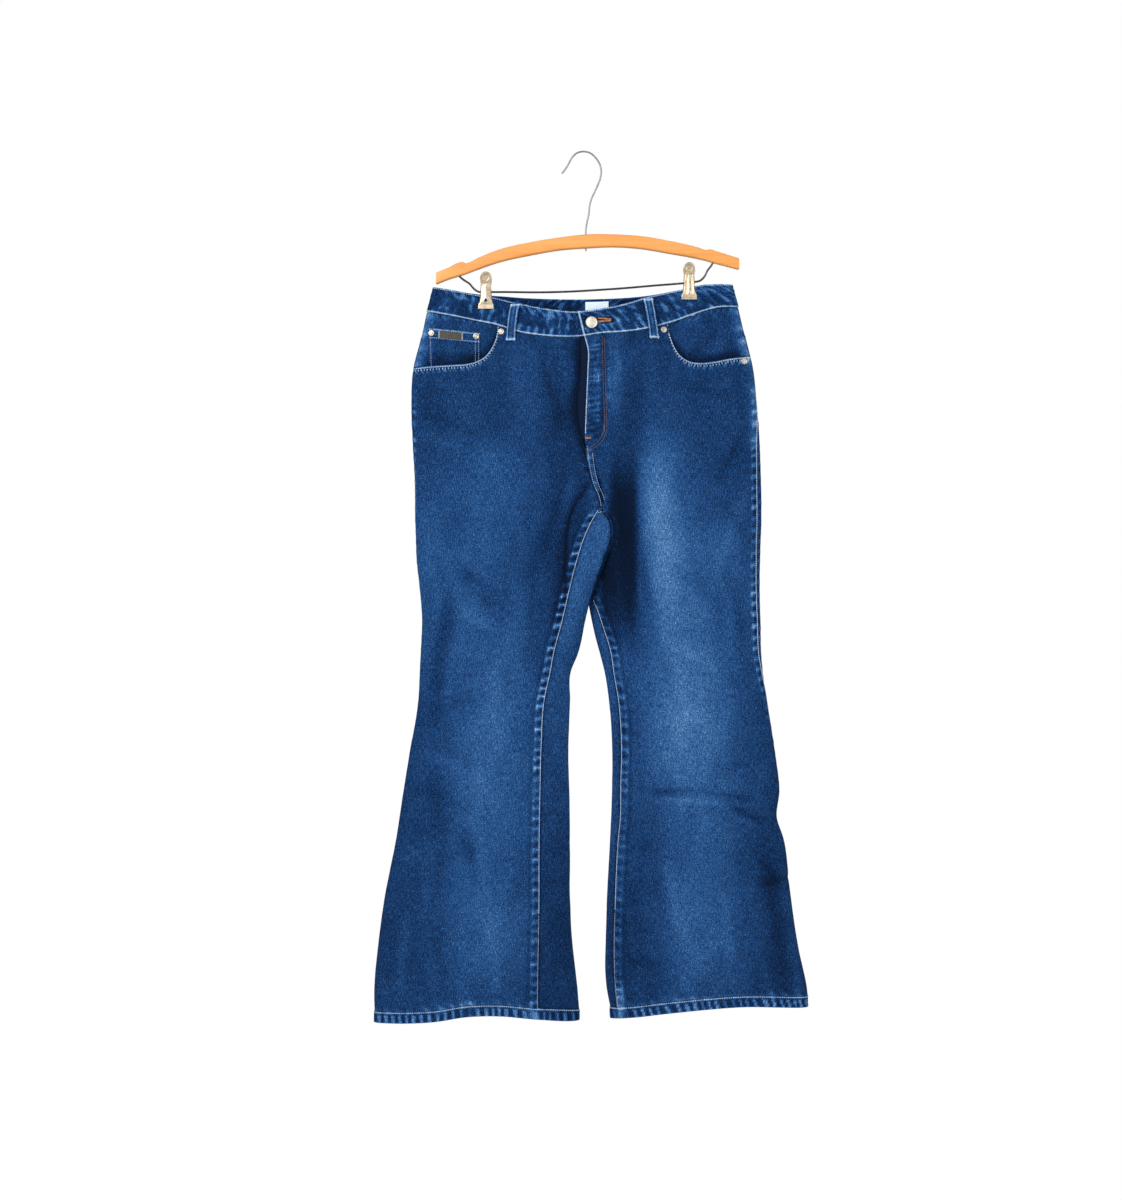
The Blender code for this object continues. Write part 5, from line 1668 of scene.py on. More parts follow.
        hem.wash += 0.34 * bell(felled**2) * (hem.grid[..., 1] < 0) * (1 - 0.6 * bars)
        hem.grid[-1, :, 2] += 0.3 * wander(run[0], 60, self.seed + 21)

    def shape_yoke(self) -> None:
        """The pointed yoke between the waistband and the back panel."""
        half = self.half
        zone = np.array([POCKET_ZONE])
        shares = np.linspace(0, 1, BACK_COLUMNS + 1)
        places = even_places(
            half, Wall.BACK, zone, np.ones(1), half.outseam(Wall.BACK, zone), shares)[0]
        top = half.drops_on(WAIST_SEAMS[Wall.BACK], Wall.BACK, places) + SEAM_GAP
        foot = half.drops_on(YOKE_SEAM, Wall.BACK, places) - SEAM_GAP / 2
        drop = top + (foot - top) * rimmed(60, 26)[:, None]
        grid = half.point(Wall.BACK, places + 0 * drop, drop)
        normal = upright_normals(grid, half.sign)
        normal[:, -1] = self.outseam_normal(drop[:, -1])
        self.yoke = yoke = Cloth(f"back_yoke_{half.name}", grid, normal, DENIM_CLOTH,
                                 rounded=(Edge.FOOT, Edge.START, Edge.END))
        low = yoke.from_edge(Edge.FOOT)
        puckers = ladder(run_along(yoke.grid, 1), low, 12.0, 9.0, self.seed + 30)
        cloudy = cloud(yoke.x + NOISE_START, drop, 26, 18, self.seed + 31)
        yoke.lift += 0.35 * puckers + 0.3 * cloudy * smooth(low / 12)
        yoke.wash[:] = BASE_WASH + 0.45 * puckers + 0.05 * cloudy + 0.15 * bell(low / 1.8)

    def shape_facing(self) -> None:
        """The cloth behind the pocket's mouth: flush at the side, tucked under the front inside."""
        half = self.half
        order = np.linspace(half.mouth.rows[-1, 0], 0, 61)
        x = half.mouth.at("x", order)
        drop = half.mouth.at("drop", order)
        inset = np.abs(x - half.sizes.at("edge", drop))
        tuck = smooth((inset - 10) / 12)
        foot_x = x - half.sign * 12 * tuck * smooth((inset - 60) / 50)
        foot_drop = drop + 15 * tuck * (1 - 0.75 * smooth((inset - 90) / 35)) - 5 * SEAM_GAP
        top_x = np.linspace(half.sizes.at("edge", 228.0), foot_x[-1], len(order))
        top_drop = WAIST_SEAMS[Wall.FRONT].at("drop", top_x) + SEAM_GAP
        top_place = half.place_at(Wall.FRONT, top_x, top_drop)
        behind = np.abs(half.point(Wall.FRONT, top_place, top_drop)[:, 1]) - 0.9
        behind *= smooth((np.abs(top_x - half.sizes.at("edge", top_drop)) - 1) / 8)
        top_drop = top_drop - 4.0 * smooth((np.minimum(3.5, behind) - 1.6) / 0.6)
        rows = np.linspace(0, 1, 34)[:, None]
        grid_drop = top_drop + (foot_drop - top_drop) * rows
        grid_x = top_x + (foot_x - top_x) * rows
        place = half.place_at(Wall.FRONT, grid_x, grid_drop)
        place[:, 0] = half.outseam(Wall.FRONT, grid_drop[:, 0])
        grid = half.point(Wall.FRONT, place, grid_drop)
        normal = upright_normals(grid, half.sign)
        normal[:, 0] = self.outseam_normal(grid_drop[:, 0])
        deepest = np.minimum(3.5, np.abs(grid[..., 1]) - 0.9)
        from_side = np.abs(grid[..., 0] - half.sizes.at("edge", grid_drop))
        self.facing = facing = Cloth(f"pocket_facing_{half.name}", grid, normal, THIN_CLOTH,
                                     rounded=(Edge.START,))
        facing.lift -= deepest * smooth((from_side - 1) / 8)
        ripple = cloud(grid_x + NOISE_START + 0.4 * grid_drop, grid_drop, 15, 12, self.seed + 40)
        facing.lift += 0.35 * ripple * smooth(from_side / 14) * smooth((1 - rows) / 0.3)
        top = facing.from_edge(Edge.TOP)
        marks = rope(run_along(facing.grid, 1), top, 10.7, -0.3, self.seed + 41)
        facing.wash[:] = 0.27 + 0.05 * ripple + 0.24 * marks * bell((top - 7) / 3.0)
        side = 0.28 + 0.28 * wander(grid_drop, 9, self.seed + 43)
        facing.wash += side * bell(from_side / 11)
        # Painted shadow on the facing, under the front panel's mouth edge.
        mouth_gap = np.interp(np.abs(grid_x), np.sort(np.abs(x)), drop[np.argsort(np.abs(x))])
        under = np.clip((grid_drop - mouth_gap + 16) / 16, 0, 1)
        facing.wash -= 0.34 * under * smooth(from_side / 26)

    def shape(self) -> None:
        """Work out every piece of this side."""
        self.shape_panels()
        self.shape_hem()
        self.shape_yoke()
        self.shape_facing()

    def build(self) -> None:
        """Make the pieces."""
        name = self.half.name
        self.front.hang((0.250, 1.000), "waistband", 0.225)
        self.back.hang((0.330, 1.000), f"back_yoke_{name}", 0.260)
        self.hem.hang((0.620, 0.018), f"front_panel_{name}", 0.0105)
        self.yoke.hang((0.270, 0.090), "waistband", 0.0145)
        self.facing.hang((0.150, 0.095), "waistband", 0.0094)


def wall_patch(half: Half, wall: Wall, x: Array, drop: Array) -> tuple[Array, Array]:
    """A patch that follows one wall.

    Args:
        half: The side of the jeans.
        wall: The wall.
        x: x of its points.
        drop: Their drops.

    Returns:
        The points, with the large folds, and the normals.
    """
    x = x + 0.0 * drop
    drop = drop + 0.0 * x
    place = half.place_at(wall, x, drop)
    grid = half.point(wall, place, drop)
    along = unit(half.point(wall, place + 0.004, drop) - half.point(wall, place - 0.004, drop))
    turn = half.sign * (1 if wall is Wall.FRONT else -1)
    normal = np.stack([-along[..., 1] * turn, along[..., 0] * turn, 0 * drop], axis=-1)
    rise = folds_at(half, wall, grid[..., 0], drop)
    return grid + normal * rise[..., None], normal


# ---------------------------------------------------------------- waistband, pockets, fly, loops


def spread(start: float, end: float, count: int) -> Array:
    """Even steps in one row."""
    return np.linspace(start, end, count)[None]


def falling(start: float, end: float, count: int) -> Array:
    """Even steps in one column."""
    return np.linspace(start, end, count)[:, None]


@dataclass
class Waistband:
    """One strip from the underlap's end, round the right side and the back, to the lapping tab."""

    height: float = 37.0
    level: float = 229.0
    pitch: float = 1.7
    underlap_end: float = 38.0
    tab_top: float = -8.0
    tab_foot: float = 0.7
    cloth: Cloth = field(init=False)

    def run(self, half: Half, wall: Wall) -> Array:
        """Even steps from the middle of one wall out to the outer fold.

        Args:
            half: The side of the jeans.
            wall: The wall.

        Returns:
            The x of each step.
        """
        level = np.array([self.level])
        count = int(235 / self.pitch)
        places = even_places(half, wall, level, np.ones(1), np.zeros(1), np.linspace(0, 1, count))
        return half.point(wall, places, level[:, None])[0, :, 0]

    def shape(self) -> None:
        """Work out the strip, its mottled puckers and its light edges, partly worn and partly
        painted highlight.
        """
        right, left = SIDES["right"], SIDES["left"]
        rows = rimmed(self.height, 22)[:, None]
        front_right = self.run(right, Wall.FRONT)
        under = np.arange(self.underlap_end, front_right[0] + self.pitch, -self.pitch)
        runs = (
            (right, Wall.FRONT, np.concatenate([under, front_right])),
            (right, Wall.BACK, self.run(right, Wall.BACK)[::-1][1:]),
            (left, Wall.BACK, self.run(left, Wall.BACK)[1:]),
            (left, Wall.FRONT, self.run(left, Wall.FRONT)[::-1][1:-1]),
        )
        pieces = []
        for half, wall, x in runs:
            place = half.place_at(wall, x, self.level + 0 * x)
            top = half.drops_on(TOP_LINES[wall], wall, place)
            foot = half.drops_on(WAIST_SEAMS[wall], wall, place) - SEAM_GAP
            pieces.append(half.point(wall, place, top + (foot - top) * rows))
        top = TOP_LINES[Wall.FRONT].at("drop", self.tab_top)
        foot = WAIST_SEAMS[Wall.FRONT].at("drop", self.tab_foot) - SEAM_GAP
        drop = top + (foot - top) * rows
        for inset in (1.2, 0.0):
            x = self.tab_top + inset + (self.tab_foot - self.tab_top) * rows
            pieces.append(np.stack([x, -BODY.at("front_depth", drop), -drop], axis=-1))
        grid = np.concatenate(pieces, axis=1)
        self.cloth = cloth = Cloth(
            "waistband", grid, upright_normals(grid, 1), BAND_CLOTH, inner_wash=-0.10,
            rounded=(Edge.TOP, Edge.FOOT, Edge.START, Edge.END), round_radius=1.2,
        )
        first = np.arange(grid.shape[1]) < len(under) + 30
        cloth.lift -= 2.9 * smooth((grid[..., 0] + 40) / 30) * first
        self.wear_and_edge_highlights()

    def wear_and_edge_highlights(self) -> None:
        """Puckers between the two rows of topstitching, steep streaks, and light edges, whose
        rounded top and foot are painted as catching light.
        """
        cloth = self.cloth
        run = run_along(cloth.grid, 1)
        high, low, tab = map(cloth.from_edge, (Edge.TOP, Edge.FOOT, Edge.END))
        lower = rope(run, low, 10.7, 0.5, 301) * smooth((16 - low) / 7)
        upper = rope(run, high, 12.6, 0.6, 305) * smooth((17 - high) / 8)
        steep = rope(run, high, 18.0, -0.5, 309) * smooth((32 - high) / 8) * smooth(high / 6)
        blotch = cloud(run, high, 6.5, 8.5, 311)
        fine = cloud(run, high, 3.4, 4.6, 313)
        spots = np.maximum.reduce([lower, 0.92 * upper, 0.9 * steep]) + 0.26 * blotch + 0.18 * fine
        gate = smooth(low / 2) * smooth(high / 2)
        cloth.lift += gate * (0.9 * smooth(spots) + 0.18 * blotch - 0.45)
        cloth.wash[:] = 0.21 + 0.36 * smooth((spots - 0.28) / 0.54) + 0.09 * blotch
        in_front = cloth.grid[..., 1] < 0
        cloth.wash[~in_front] -= 0.02
        # Painted highlights along the rounded top and foot edges, where they catch light, over some
        # edge wear.
        rim = 0.40 + 0.25 * smooth((cloth.x + 60) / 60) * in_front
        cloth.wash += rim * bell(high / 1.5) + 0.62 * bell((low - 0.8) / 1.5)
        cloth.wash += 0.75 * bell(tab / 2.0) * in_front
        button_x, button_drop = BUTTON_PLACE
        hole_x, hole_drop = BUTTONHOLE_PLACE
        on_tab = self.on_tab()
        button = np.hypot(cloth.x - button_x, cloth.drop - button_drop)
        cloth.wash -= 0.16 * bell(button / 11.5) * on_tab
        hole = np.hypot((cloth.x - hole_x) / 11.5, (cloth.drop - hole_drop) / 3.4)
        cloth.wash -= 0.22 * bell((hole - 1.15) / 0.22) * on_tab
        cloth.wash += 0.24 * bell((hole - 1.8) / 0.35) * on_tab

    def on_tab(self) -> Array:
        """Which points lie in front, on the lapping tab's side."""
        run = run_along(self.cloth.grid, 1)
        return (self.cloth.grid[..., 1] < 0) & (run > run.max() * 0.5)

    def build(self) -> None:
        """Make the strip."""
        self.cloth.hang((0.96, 0.037), "clip_right_front_jaw")


@dataclass
class CoinPocket:
    """The small pocket inside the right front pocket, with its bare plate."""

    outer_x: float = -221.0
    width: float = 74.0
    top: float = 252.0
    fall: float = 7.5
    foot: float = 319.0
    plate_x: tuple[float, float] = (-206.7, -170.8)
    plate_top: float = 256.1
    plate_height: float = 10.2
    cloth: Cloth = field(init=False)
    plate: Cloth = field(init=False)

    def shape(self) -> None:
        """Work out the pocket and the plate that is riveted to its hem."""
        half = SIDES["right"]
        columns = spread(0, 1, 56)
        rows = rimmed(66, 46)[:, None]
        top = self.top + self.fall * columns
        drop = top + (self.foot - columns - top) * rows
        x = self.outer_x + self.width * columns + 2.0 * rows * (1 - columns)
        grid, normal = wall_patch(half, Wall.FRONT, x, drop)
        self.cloth = cloth = Cloth(
            "coin_pocket", grid, normal, THIN_CLOTH, shift=-COIN_BEHIND,
            rounded=(Edge.TOP, Edge.START, Edge.END), round_radius=0.9,
        )
        high, outer, inner = map(cloth.from_edge, (Edge.TOP, Edge.START, Edge.END))
        run = run_along(cloth.grid, 1)
        marks = rope(run, high, 8.5, 0.5, 331) * smooth((15 - high) / 3)
        patches = cloud(x + NOISE_START, drop, 9, 11, 333)
        cloth.lift += 0.14 * marks + 0.10 * patches - 0.35 * smooth((high - 13.5) / 1.5)
        cloth.wash[:] = 0.29 + 0.16 * marks + 0.07 * patches
        cloth.wash += 0.50 * bell(high / 1.4) + 0.10 * bell((high - 13) / 1.4)
        cloth.wash += 0.16 * bell(outer / 1.6) + 0.14 * bell(inner / 1.6)
        # Painted shadow under the pocket's mouth, deepest toward the lower inner corner.
        lower = smooth((high - 22) / 22) * smooth((run - 30) / 30)
        order = np.interp(-x, (121, 125, 139, 166, 243), (0, 2, 4, 6, 9))
        mouth_drop = half.mouth.at("drop", order)
        cloth.wash -= 0.30 * np.clip((drop - mouth_drop + 20) / 20, 0, 1) + 0.08 * lower
        cloth.wash -= 0.12 * smooth((high - 14) / 6) * smooth((20 - high) / 5)
        x = spread(*self.plate_x, 30)
        drop = self.plate_top + 0.09 * (x - self.plate_x[0]) + falling(0, self.plate_height, 12)
        grid, normal = wall_patch(half, Wall.FRONT, x, drop)
        self.plate = Cloth("coin_plate", grid, normal, 0.8, shift=1.5 - COIN_BEHIND,
                           rounded=tuple(Edge), round_radius=1.3)

    def build(self) -> None:
        """Make both."""
        self.cloth.hang((0.075, 0.067), "front_panel_right")
        self.plate.hang((0.036, 0.010), "coin_pocket", None, "laid", LEATHER, "plate_leather")


@dataclass
class Fly:
    """The zip's tape and the shield behind the lapped edge, both near black as painted shade in the
    fly's gap.
    """

    def shape_and_build(self) -> None:
        """Make both layers."""
        for name, start, end, foot, behind, length, finish, slot in (
            ("zip_tape", -13, 22, 412, -1.35, 0.147, TAPE_PAINTED_SHADE, "zip_tape"),
            ("fly_shield", -22, 34, 424, -2.4, 0.158, DENIM, "denim"),
        ):
            x = spread(start, end, 24)
            top = WAIST_SEAMS[Wall.FRONT].at("drop", x) + 4 * SEAM_GAP
            drop = top + (foot - top) * falling(0, 1, 60)
            cloth = Cloth(name, *wall_patch(SIDES["left"], Wall.FRONT, x, drop), 0.7, shift=behind)
            # Darkest wash for the shield: painted shade in the fly's gap.
            cloth.wash[:] = 0.0
            cloth.hang(((end - start) * MM, length), "front_panel_left", finish=finish, slot=slot)


@dataclass
class BackPocket:
    """A pointed patch pocket on one back panel."""

    half: Half
    seed: int
    lift: float = 1.7
    from_centre: float = 118.0
    half_width: float = 74.0
    narrowing: float = 9.0
    top: float = 336.0
    foot: float = 476.0
    point: float = 18.0
    slant: float = 8.0
    cloth: Cloth = field(init=False)

    def shape(self) -> None:
        """Work out the patch with its worn edges."""
        columns = spread(-1, 1, 66)
        rows = rimmed(self.foot - self.top, 58)[:, None]
        sign = self.half.sign
        middle = BACK_CENTRE + sign * self.from_centre
        x = middle + columns * (self.half_width - self.narrowing * rows)
        top = self.top - sign * columns * self.slant
        foot = self.foot + self.point * (1 - np.abs(columns)) - sign * columns * self.slant / 2
        grid, normal = wall_patch(self.half, Wall.BACK, x, top + (foot - top) * rows)
        self.cloth = Cloth(f"back_pocket_{self.half.name}", grid, normal, DENIM_CLOTH,
                           shift=self.lift, rounded=tuple(Edge), round_radius=1.2)
        cloth = self.cloth
        edges = {edge: cloth.from_edge(edge) for edge in Edge}
        nearest = np.minimum.reduce([edges[Edge.START], edges[Edge.END], edges[Edge.FOOT]])
        run = run_along(cloth.grid) + run_along(cloth.grid, 1)
        marks = ladder(run, nearest, 11.5, 9.0, self.seed)
        patches = cloud(x + NOISE_START, cloth.drop, 18, 22, self.seed + 1)
        cloth.lift += 0.3 * marks + 0.3 * np.clip(patches, 0, 1)
        cloth.wash[:] = BASE_WASH + fades_and_shade_at(Wall.BACK, cloth.x, cloth.drop)
        cloth.wash += 0.4 * marks + 0.05 * patches + 0.25 * bell(nearest / 1.5)
        cloth.wash += 0.22 * bell(edges[Edge.TOP] / 1.5)

    def build(self) -> None:
        """Make the patch."""
        self.cloth.hang((0.150, 0.158), f"back_panel_{self.half.name}", 0.0208, "laid")


LOOPS = {
    "front_right": (Wall.FRONT, "right", -95.4, -103.4),
    "front_left": (Wall.FRONT, "left", 92.0, 101.5),
    "back_right": (Wall.BACK, "right", -80.0, -82.0),
    "back_middle": (Wall.BACK, "left", BACK_CENTRE, BACK_CENTRE),
    "back_left": (Wall.BACK, "left", 104.0, 106.0),
}


@dataclass
class BeltLoop:
    """One belt loop: an arch from the waistband's top to just below its seam."""

    name: str
    seed: int
    width: float = 13.5
    thickness: float = 1.4
    length: float = 56.0
    below_top: float = 1.5
    past_seam: float = 16.5
    arch_height: float = 2.6
    cloth: Cloth = field(init=False)

    def shape(self) -> None:
        """Work out the folded strip: light worn edges, a light rib in the middle, and its bars."""
        wall, side, top_x, foot_x = LOOPS[self.name]
        half = SIDES[side]
        rows = rimmed(self.length, 44)[:, None]
        columns = (rimmed(self.width, 14)[None] - 0.5) * self.width
        top = TOP_LINES[wall].at("drop", np.array(top_x)) + self.below_top
        foot = WAIST_SEAMS[wall].at("drop", np.array(foot_x)) + self.past_seam
        drop = top + (foot - top) * rows + 0 * columns
        x = top_x + (foot_x - top_x) * rows + columns
        grid, _ = wall_patch(half, wall, x, drop)
        _, level = wall_patch(half, wall, x - columns, drop)
        seated = self.thickness / 2 + 2 * SEAM_GAP
        on_band = BAND_CLOTH / 2 + seated
        on_panel = DENIM_CLOTH / 2 + seated
        seat = on_band + (on_panel - on_band) * smooth((rows - 0.72) / 0.12)
        arch = self.arch_height * smooth(rows / 0.22) * smooth((0.92 - rows) / 0.2)
        self.cloth = Cloth(f"belt_loop_{self.name}", grid, level, self.thickness,
                           rounded=tuple(Edge), round_radius=1.1, inner_wash=-0.1)
        cloth = self.cloth
        aside = np.abs(columns) + 0 * rows
        rib = bell(aside / 1.5)
        edge = bell((aside - 5.6) / 1.3)
        down = run_along(cloth.grid)
        uneven = wander(down + 3 * np.sign(columns), 5.5, self.seed)
        cloth.lift += seat + arch + 0.22 * rib + 0.12 * edge
        cloth.wash[:] = 0.26 + (0.24 + 0.14 * uneven) * rib + (0.42 + 0.14 * uneven) * edge
        ends = bell((down - 3) / 2.2) + bell((down[-1:] - down - 3) / 2.2)
        cloth.wash += 0.4 * ends

    def build(self) -> None:
        """Make the strip."""
        self.cloth.hang((0.0135, 0.065), "waistband")


@dataclass
class WaistLabel:
    """The bare white label inside the back of the waistband."""

    start: float = 3.4
    end: float = 36.8
    below_top: float = 4.0
    height: float = 24.0

    def shape_and_build(self) -> None:
        """Make the small folded label, a little uneven."""
        x = spread(self.start, self.end, 30)
        top = TOP_LINES[Wall.BACK].at("drop", x) + self.below_top
        drop = top + falling(0, self.height, 22)
        grid, normal = wall_patch(SIDES["left"], Wall.BACK, x, drop)
        label = Cloth("waist_label", grid, normal, 0.6, shift=-(BAND_CLOTH / 2 + SEAM_GAP + 0.35),
                      rounded=tuple(Edge), round_radius=0.6)
        label.lift += 0.2 * cloud(grid[..., 0] + NOISE_START, label.drop, 12, 9, 351)
        label.hang((0.034, 0.024), "waistband", finish=SATIN, slot="label_satin")


# ---------------------------------------------------------------- hard trim


class Bench:
    """Modelling by hand: primitives shaped in edit mode, with modifiers applied."""

    @staticmethod
    def take(*pieces: bpy.types.Object) -> None:
        """Select pieces alone, the first of them active.

        Args:
            pieces: The pieces, or none.
        """
        bpy.ops.object.select_all(action="DESELECT")
        for piece in pieces:
            piece.select_set(True)
        bpy.context.view_layer.objects.active = pieces[0] if pieces else None

    @staticmethod
    def cylinder(name: str, radius: float, depth: float, sides: int, centre: Sequence[float],
                 turn: float = 0.0, ends: str = "NGON") -> bpy.types.Object:
        """Add a cylinder.

        Args:
            name: The piece's name.
            radius: Its radius in millimetres.
            depth: Its height.
            sides: How many sides.
            centre: Its middle.
            turn: How far it is turned about Y.
            ends: How its ends are filled.

        Returns:
            The object.
        """
        Bench.take()
        bpy.ops.mesh.primitive_cylinder_add(
            vertices=sides, radius=radius * MM, depth=depth * MM, end_fill_type=ends,
            location=[value * MM for value in centre], rotation=(0, turn, 0),
        )
        obj = bpy.context.object
        obj.name = obj.data.name = name
        bpy.ops.object.transform_apply(location=True, rotation=True, scale=True)
        return obj

    @staticmethod
    def pick_cap(obj: bpy.types.Object, sense: int = 1) -> None:
        """Select the level faces of a cap, in edit mode.

        Args:
            obj: The piece.
            sense: 1 for the top, -1 for the foot.
        """
        bpy.ops.object.mode_set(mode="OBJECT")
        mesh = obj.data
        reach = max(sense * face.center.z for face in mesh.polygons)
        for parts in (mesh.vertices, mesh.edges):
            parts.foreach_set("select", [False] * len(parts))
        for face in mesh.polygons:
            face.select = sense * face.normal.z > 0.99 and sense * face.center.z > reach - 1e-6
        bpy.ops.object.mode_set(mode="EDIT")
        bpy.ops.mesh.select_mode(type="FACE")

    @staticmethod
    def step_in(obj: bpy.types.Object, steps: Sequence[tuple[float, float]],
                sense: int = 1) -> None:
        """Inset a cap again and again.

        Args:
            obj: The piece.
            steps: How far in and how far out each inset goes, in millimetres.
            sense: 1 for the top, -1 for the foot.
        """
        Bench.pick_cap(obj, sense)
        for thickness, depth in steps:
            bpy.ops.mesh.inset(thickness=thickness * MM, depth=depth * MM)
        bpy.ops.object.mode_set(mode="OBJECT")

    @staticmethod
    def soften(obj: bpy.types.Object, width: float, segments: int = 2) -> None:
        """Bevel the sharp edges and smooth the rest.

        Args:
            obj: The piece.
            width: How wide the bevel is, in millimetres.
            segments: How many steps round it.
        """
        bevel = obj.modifiers.new("edges", "BEVEL")
        bevel.width = width * MM
        bevel.segments = segments
        bevel.limit_method = "ANGLE"
        bevel.angle_limit = 0.5
        Bench.apply(obj)
        bpy.ops.object.shade_smooth_by_angle(angle=0.7)

    @staticmethod
    def apply(obj: bpy.types.Object) -> None:
        """Apply every modifier of a piece, and leave it selected alone.

        Args:
            obj: The piece.
        """
        Bench.take(obj)
        for modifier in list(obj.modifiers):
            bpy.ops.object.modifier_apply(modifier=modifier.name)


@dataclass
class Studs:
    """Five rivets and the shank button, each seated square on its cloth."""

    rivet_radius: float = 4.35
    shank_radius: float = 4.2
    shank_height: float = 1.7
    cap_radius: float = 7.9
    cap_height: float = 0.5

    def seat(self, half: Half, x: float, drop: float, lift: float) -> Matrix:
        """Where a stud stands.

        Args:
            half: The side of the jeans.
            x: Its x.
            drop: Its drop.
            lift: How far out of the cloth's middle its base is.

        Returns:
            The matrix from the bench to its place.
        """
        spot, normal = wall_patch(half, Wall.FRONT, np.array([[x]]), np.array([[drop]]))
        out = Vector(normal[0, 0])
        across = Vector((0, 0, 1)).cross(out).normalized()
        turn = Matrix((across, out.cross(across), out)).transposed().to_4x4()
        return Matrix.Translation((Vector(spot[0, 0]) + out * lift) * MM) @ turn

    def rivet(self) -> bpy.types.Object:
        """A dished cap with a raised ring and the nail's blunt head in it.

        Returns:
            The cap, on the bench.
        """
        obj = Bench.cylinder("rivet_pattern", self.rivet_radius, 0.55, 36, (0, 0, 0.275))
        Bench.step_in(obj, (
            (0.35, 0.30), (0.55, 0.16), (0.55, 0.0), (0.45, -0.28), (0.35, -0.06), (0.12, 0.5),
            (0.28, 0.22), (0.5, 0.05),
        ))
        Bench.soften(obj, 0.12)
        return obj

    def button(self) -> bpy.types.Object:
        """A shank under a wide cap with a rolled rim, a ring groove and a low plain dome.

        Returns:
            The button, on the bench.
        """
        shank = Bench.cylinder("waist_button", self.shank_radius, self.shank_height, 32,
                               (0, 0, self.shank_height / 2))
        Bench.soften(shank, 0.2)
        cap = Bench.cylinder("button_cap", self.cap_radius, self.cap_height, 64,
                             (0, 0, self.shank_height + self.cap_height / 2))
        Bench.step_in(cap, ((0.5, 0.12),), -1)
        Bench.pick_cap(cap)
        for rise, girth in ((0.35, 1.06), (0.5, 0.975)):
            bpy.ops.mesh.extrude_region_move(TRANSFORM_OT_translate={"value": (0, 0, rise * MM)})
            bpy.ops.transform.resize(value=(girth, girth, 1))
        Bench.step_in(cap, (
            (0.35, 0.22), (0.6, 0.03), (0.35, -0.34), (0.5, -0.04), (0.5, 0.22), (1.5, 0.18),
            (0.4, 0.0), (0.3, 0.12), (0.8, 0.08), (0.8, 0.03),
        ))
        Bench.soften(cap, 0.12)
        Bench.take(shank, cap)
        bpy.ops.object.join()
        return shank

    def build(self) -> None:
        """Copy the rivet to its five places, and seat the button."""
        right, left = SIDES["right"], SIDES["left"]
        on_panel = DENIM_CLOTH / 2 + 3 * SEAM_GAP
        on_fold = DENIM_CLOTH / 2 + 1.5 * SEAM_GAP
        on_coin = -COIN_BEHIND + THIN_CLOTH / 2 + 3 * SEAM_GAP
        pattern = self.rivet()
        for name, half, x, drop, lift in (
            ("coin_outer", right, -216.5, 259.2, on_coin),
            ("coin_inner", right, -152.5, 264.0, on_coin + SEAM_GAP),
            ("mouth_right_inner", right, -116.5, 257.5, on_panel),
            ("mouth_left_inner", left, 114.6, 255.0, on_panel),
            ("mouth_left_outer", left, 229.5, 299.5, on_fold),
        ):
            rivet = pattern.copy()
            rivet.data = pattern.data.copy()
            rivet.name = rivet.data.name = f"rivet_{name}_cap"
            rivet.data.transform(self.seat(half, x, drop, lift))
            bpy.context.scene.collection.objects.link(rivet)
            settle(rivet, NICKEL, "nickel", f"rivet_{name}")
        bpy.data.objects.remove(pattern)
        button = self.button()
        button.data.transform(self.seat(left, *BUTTON_PLACE, BAND_CLOTH / 2 + SEAM_GAP))
        settle(button, BUTTON_NICKEL, "nickel", "button")


# ---------------------------------------------------------------- the hanger


